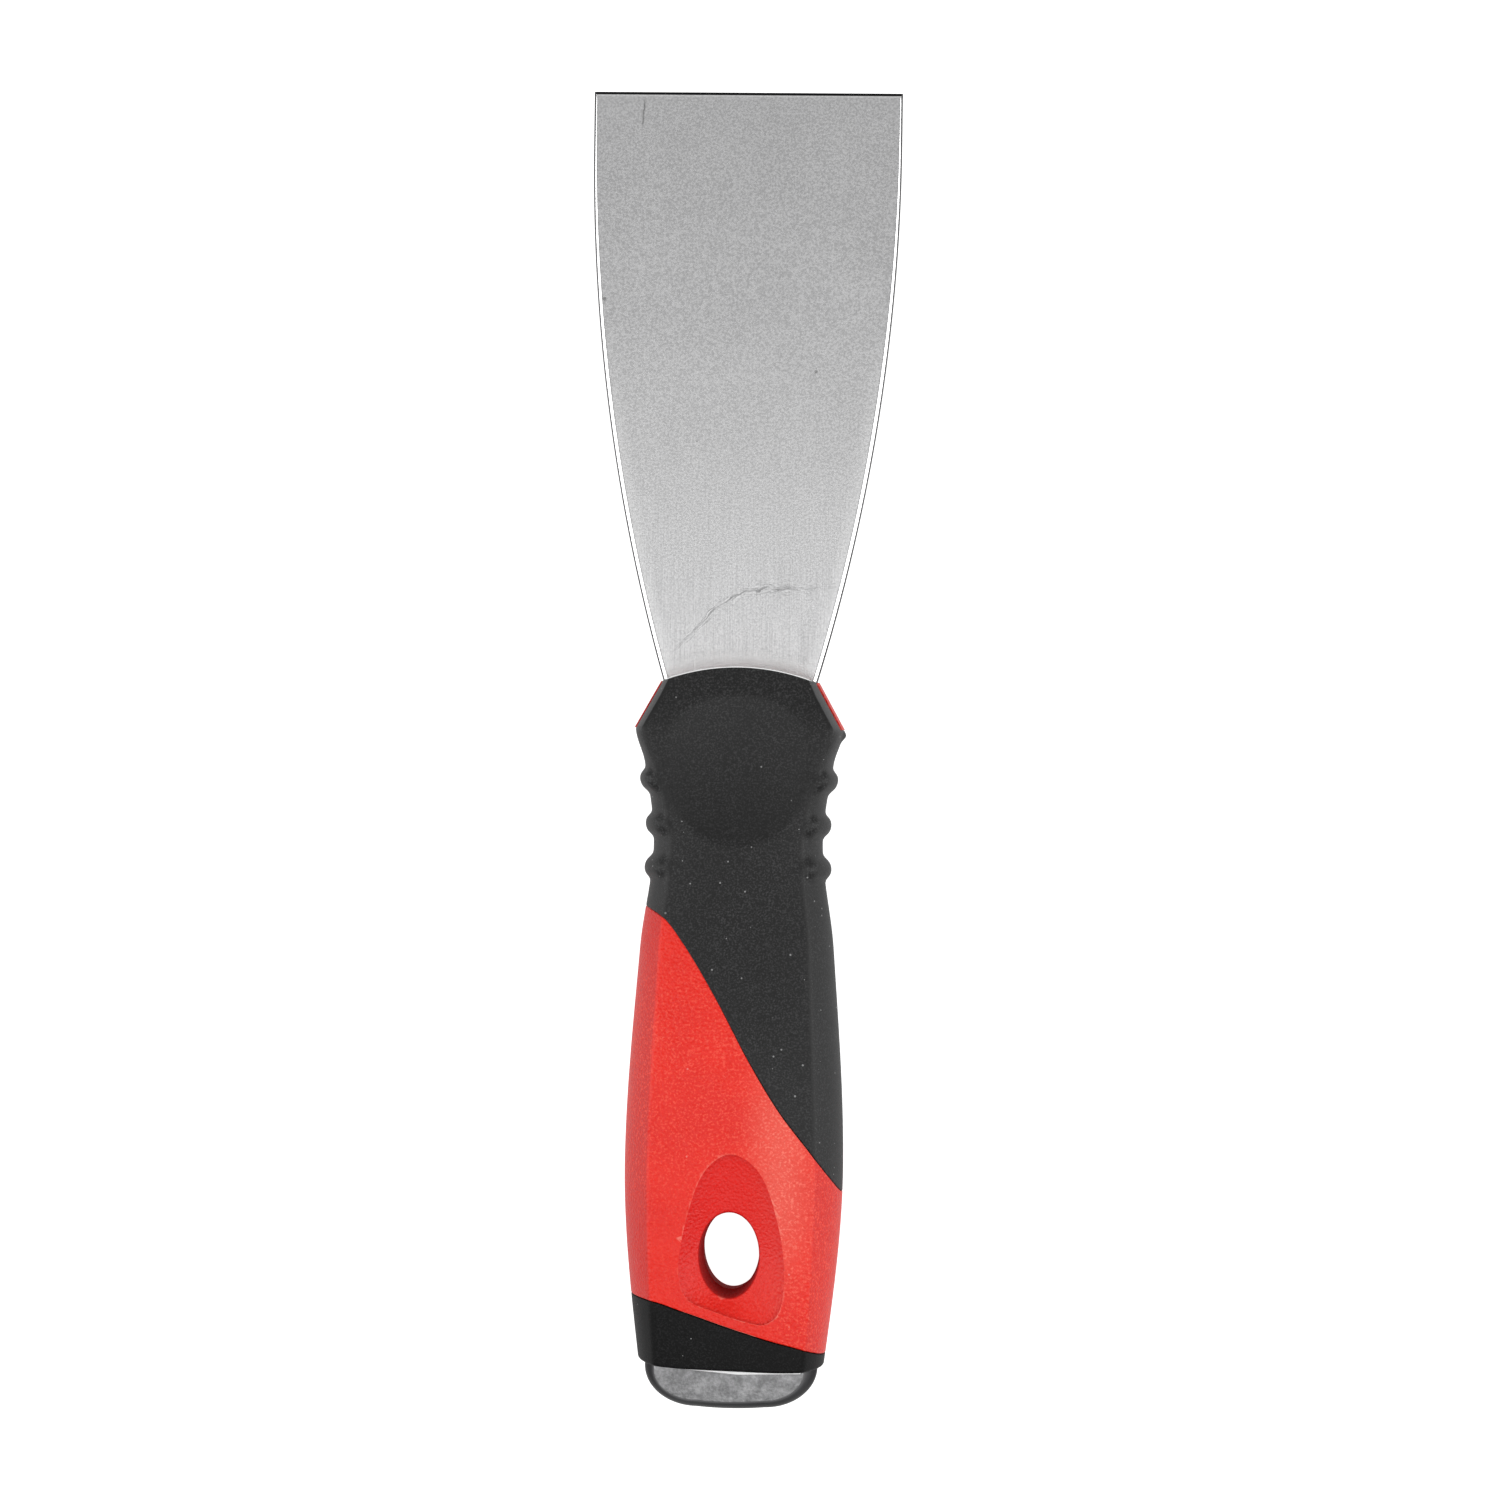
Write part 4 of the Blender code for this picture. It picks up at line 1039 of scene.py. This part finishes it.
# %% The blade's steel
blade_steel, tree, shader, where = new_finish("blade_steel_fine", Metallic=1.0)
spot = axes(where)
from_edge = stored(tree, "from_edge")
mottle = use(MOULD_GRAIN, where, Scale=3000.0)
ground = use(GROUND_LINES, where, Across=5200.0, Along=90.0)["Height"]
near_handle = ramp(spot["Y"], MOUTH_Y, MOUTH_Y + 45 * MM, 1.0, 0.12)
share = stored(tree, "bevel_share")
polished = ramp(share, 0.95, 1.05, 1.0, 0.0)
outline_dark = ramp(from_edge, 0.26, 0.30, 0.97, 0.0)
inner_line = times(ramp(share, 0.97, 1.03), ramp(share, 1.12, 1.3, 0.55, 0.0))
# painted light: a pale band on the steel just past the mouth, over the shade that the handle throws
# there
mouth_painted_light = ramp(from_bowed_mouth(spot), 0.6 * MM, 3.0 * MM, 1.0, 0.0)
# painted highlight: a pale band along the side edges on the half nearer the handle
lower_half = ramp(spot["Y"], 45 * MM, 75 * MM, 1.0, 0.0)
edge_highlight = times(ramp(from_edge, 0.5, 3.5, 0.4, 0.0), lower_half)
tip_dark = ramp(spot["Y"], TIP_Y - 0.48 * MM, TIP_Y - 0.40 * MM)
tip_pale = ramp(spot["Y"], TIP_Y - 0.85 * MM, TIP_Y - 0.55 * MM)

# %% The run-out line: flat on the right, falling away in a curve on the left
lean = maths("MINIMUM", minus(spot["X"], 5 * MM), 0.0)
fall = times(lean, lean, 43.0)
line_y = minus(26.3 * MM, fall)
wander = noise(where, 300.0, 2.0).outputs["Fac"]
off_line = minus(spot["Y"], line_y)
off_line = plus(off_line, times(minus(wander, 0.5), 0.0022))
flow = add(tree, "CombineXYZ", {"X": spot["X"], "Y": off_line}).outputs[0]
scuffs = use(GROUND_LINES, flow, Across=480.0, Along=3600.0)["Height"]
off = maths("ABSOLUTE", off_line)
band = ramp(off, 0.1 * MM, 1.5 * MM, 1.0, 0.0)
left_fade = ramp(spot["X"], -11 * MM, -6 * MM, 0.35, 1.0)
right_fade = ramp(spot["X"], 5 * MM, 14 * MM, 1.0, 0.35)
band = times(band, left_fade, right_fade)
core_line = times(ramp(off, 0.05 * MM, 0.4 * MM, 0.7, 0.0), ramp(scuffs, 0.4, 0.55))
scuffed = times(band, ramp(scuffs, 0.53, 0.64))
scuffed = maths("MAXIMUM", scuffed, times(core_line, times(left_fade, right_fade)))
lifted = times(band, ramp(scuffs, 0.36, 0.46, 0.6, 0.0))

# %% Colour, roughness and relief of the steel
steel = blend(mottle["Tone"], (0.60, 0.60, 0.605), (0.66, 0.66, 0.665))
speck = ramp(mottle["Height"], 0.35, 0.65, -0.5, 0.5)
grinding = ramp(ground, 0.35, 0.65, -0.5, 0.5)
shade = plus(times(speck, 0.45), times(grinding, near_handle, 0.75))
shade = maths("ADD", shade, 0.5, clamp=True)
toned = blend(shade, (0.45, 0.45, 0.455), (0.80, 0.80, 0.805))
body = blend(0.55, steel, toned)
# painted light: the steel is painted paler towards the handle, as a broad reflection of the light
painted_light_share = ramp(spot["Y"], 25 * MM, 95 * MM, 0.27, 0.0)
with_painted_light = blend(painted_light_share, body, (0.95, 0.95, 0.95))
with_painted_highlights = blend(edge_highlight, with_painted_light, (0.95, 0.95, 0.95))
with_painted_highlights = blend(mouth_painted_light, with_painted_highlights, (1.0, 1.0, 1.0))
lightened = blend(lifted, with_painted_highlights, (0.95, 0.95, 0.95))
marked = blend(times(scuffed, 0.7), lightened, (0.2, 0.2, 0.205))
pits = use(DUST, where, Scale=260.0, Amount=0.12, Size=0.09)["Mask"]
pitted = blend(times(pits, 0.5), marked, (0.12, 0.12, 0.12))
scratch_x = apart(plus(spot["X"], times(wander, 0.0012)), -16.4 * MM)
scratch_x = ramp(scratch_x, 0.0, 0.22 * MM, 0.6, 0.0)
scratch_y = apart(spot["Y"], TIP_Y - 3.4 * MM)
scratch = times(scratch_x, ramp(scratch_y, 1.2 * MM, 2.8 * MM, 1.0, 0.0))
scratched = blend(scratch, pitted, (0.1, 0.1, 0.1))
paled = blend(times(tip_pale, 0.6), scratched, (0.9, 0.9, 0.9))
bright = blend(polished, paled, (0.95, 0.95, 0.955))
lined = blend(inner_line, bright, (0.2, 0.2, 0.2))
outlined = blend(outline_dark, lined, (0.012, 0.012, 0.012))
tipped = blend(tip_dark, outlined, (0.02, 0.02, 0.021))
fill(shader, {"Metallic": minus(1.0, outline_dark)})
rough = minus(plus(0.38, times(speck, 0.08)), times(polished, 0.12))
relief = plus(times(grinding, near_handle, 0.6), times(speck, 0.35))
dress(shader, tipped, rough, relief, 0.000012)

# %% [markdown]
# ### The cap's cast metal
# The cap's flat facets are left rough from casting, so they look mid grey and mottled. Its bevelled
# sides are polished and mirror the darker surroundings, and that darker look is painted into their
# colour as a darker grey. The way that the surface faces tells the two apart.

# %% The cap's metal
cap_metal, tree, shader, where = new_finish(
    "cap_metal_fine", Metallic=1.0, Specular_Tint=(0.2, 0.2, 0.2, 1.0)
)
facet = ramp(facing_of(tree), 0.93, 0.985)
cast = use(MOULD_GRAIN, where, Scale=1900.0)
pitted = ramp(cast["Height"], 0.36, 0.66)
cloud = noise(where, 520.0, 4.0).outputs["Fac"]
pitted = plus(times(pitted, 0.4), ramp(cloud, 0.3, 0.7, 0.0, 0.6))
rough_grey = blend(pitted, (0.17, 0.17, 0.173), (0.36, 0.36, 0.365))
# painted shade: the polished sides get a darker grey
shaded_side_grey = blend(cast["Tone"], (0.17, 0.17, 0.173), (0.23, 0.23, 0.235))
rub_and_sheen = use(EDGE_RUB_AND_SHEEN, where, Start=0.6, Break=500.0)["Mask"]
metal = blend(facet, shaded_side_grey, rough_grey)
worn_with_painted_light = blend(times(rub_and_sheen, 0.5), metal, (0.75, 0.75, 0.76))
spot = axes(where)
# painted highlight: a thin pale, less metallic streak on the facets along the collar's edge
end_tilt = times(spot["X"], COLLAR_TILT / float(end_x.max()))
from_collar = minus(MOUTH_Y - (COLLAR_END_AT + COLLAR_LOW) * MM, spot["Y"])
from_collar = minus(from_collar, end_tilt)
aside = times(apart(spot["X"], 1.5 * MM), 1 / (10 * MM))
highlight_wide = times(minus(1.0, aside), 0.55 * MM)
lip = times(maths("LESS_THAN", from_collar, highlight_wide), facet)
lip = times(lip, maths("GREATER_THAN", highlight_wide, 0.0))
with_lip_highlight = blend(lip, worn_with_painted_light, (0.95, 0.95, 0.95))
fill(shader, {"Metallic": minus(1.0, times(lip, 0.85))})
relief = times(cast["Height"], plus(facet, 0.15))
dress(shader, with_lip_highlight, ramp(facet, 0.0, 1.0, 0.26, 0.5), relief, 0.00008)

# %% [markdown]
# ### The pin
# The pin that locks the cap to the core is hidden inside the butt. It is plain drawn steel with
# faint lines along it.

# %% The pin's steel
pin_steel, tree, shader, where = new_finish("pin_steel_fine", Metallic=1.0)
drawn = use(GROUND_LINES, where, Across=2600.0, Along=2600.0)["Height"]
drawn_tone = blend(drawn, (0.42, 0.42, 0.43), (0.62, 0.62, 0.63))
dress(shader, drawn_tone, ramp(drawn, 0.3, 0.7, 0.28, 0.42), drawn, 0.00002)

# %% Give every piece its finish
FINISHES = {
    "soft_grip_fine": grip_rubber,
    "handle_core_fine": red_plastic,
    "end_collar_fine": collar_rubber,
    "hammer_cap_fine": cap_metal,
    "blade_fine": blade_steel,
}
for name, finish_material in FINISHES.items():
    mesh = bpy.data.objects[name].data
    mesh.materials.clear()
    mesh.materials.append(finish_material)
for material_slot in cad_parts["cap_pin"].material_slots:
    material_slot.material = pin_steel
print("finishes:", sorted(material.name for material in FINISHES.values()))

# %% [markdown]
# ## Floor, lights and camera
# The knife lies on a pale table. Metal shows whatever is round it, so the light does most of the
# work: an even, slightly dim overhead for the flat faces and two long bright panels low at the
# sides, which draw the white lines on the ground bevels.

# %% The floor
bpy.ops.object.select_all(action="DESELECT")
bpy.ops.mesh.primitive_plane_add(size=6.0, location=(0, 0, 0))
floor = bpy.context.object
floor.name = "table"
WHITE = (1.0, 1.0, 1.0, 1.0)
paper, tree, shader, where = new_finish("pale_table", Roughness=0.85)
cloud = noise(where, 3.0, 3.0).outputs["Fac"]
seen = add(tree, "LightPath").outputs["Is Camera Ray"]
fill(shader, {
    "Base Color": blend(cloud, (0.46, 0.46, 0.46), (0.50, 0.50, 0.50)),
    "Specular IOR Level": 0.1,
    "Emission Color": WHITE,
    "Emission Strength": ramp(seen, 0.0, 1.0, 0.35, 1.0),
})
floor.data.materials.append(paper)

# %% The surroundings
SURROUND = 0.41
world = bpy.data.worlds.new("studio")
world.use_nodes = True
background = world.node_tree.nodes["Background"]
seen = add(world.node_tree, "LightPath").outputs["Is Camera Ray"]
fill(background, {"Color": WHITE, "Strength": ramp(seen, 0.0, 1.0, SURROUND, 1.0)})
bpy.context.scene.world = world
bpy.context.scene.view_settings.view_transform = "Standard"


# %% The light panels
def panel(name, place, target, size, brightness):
    """A rectangular light that faces a target. Brightness 1 looks as bright as white paper."""
    lamp = bpy.data.lights.new(name, "AREA")
    lamp.shape = "RECTANGLE"
    lamp.size, lamp.size_y = size
    lamp.energy = brightness * math.pi * size[0] * size[1]
    light = bpy.data.objects.new(name, lamp)
    light.location = place
    light.rotation_euler = (Vector(target) - Vector(place)).to_track_quat("-Z", "Y").to_euler()
    bpy.context.scene.collection.objects.link(light)


CENTRE = (0.0, 0.0, MIDDLE_Z)
panel("left_panel", (-0.75, 0.0, 0.42), CENTRE, (0.5, 1.3), 2.45)
panel("right_panel", (0.75, 0.0, 0.42), CENTRE, (0.5, 1.3), 2.6)
panel("butt_panel", (0.06, -0.30, 0.85), CENTRE, (0.4, 0.3), 3.5)

# %% The camera, looking straight down and leaning a little to the right
CAMERA_HIGH = 0.700
CAMERA_ASIDE = 0.033
CAMERA_ROLL = math.radians(0.79)
VIEW_WIDE = 0.2427
aim = Vector((1.68 * MM, 0.05 * MM, MIDDLE_Z))
eye = aim + Vector((CAMERA_ASIDE, 0.0, CAMERA_HIGH))
backward = (eye - aim).normalized()
upward = Vector((-math.sin(CAMERA_ROLL), math.cos(CAMERA_ROLL), 0.0))
rightward = upward.cross(backward).normalized()
upward = backward.cross(rightward)
camera_data = bpy.data.cameras.new("camera")
camera_data.angle = 2 * math.atan(VIEW_WIDE / 2 / CAMERA_HIGH)
camera_data.clip_start = 0.01
camera = bpy.data.objects.new("camera", camera_data)
turned = Matrix((rightward, upward, backward)).transposed().to_4x4()
camera.matrix_world = Matrix.Translation(eye) @ turned
bpy.context.scene.collection.objects.link(camera)
bpy.context.scene.camera = camera
print(f"camera {CAMERA_HIGH:.2f} m above, view angle {math.degrees(camera_data.angle):.2f} degrees")
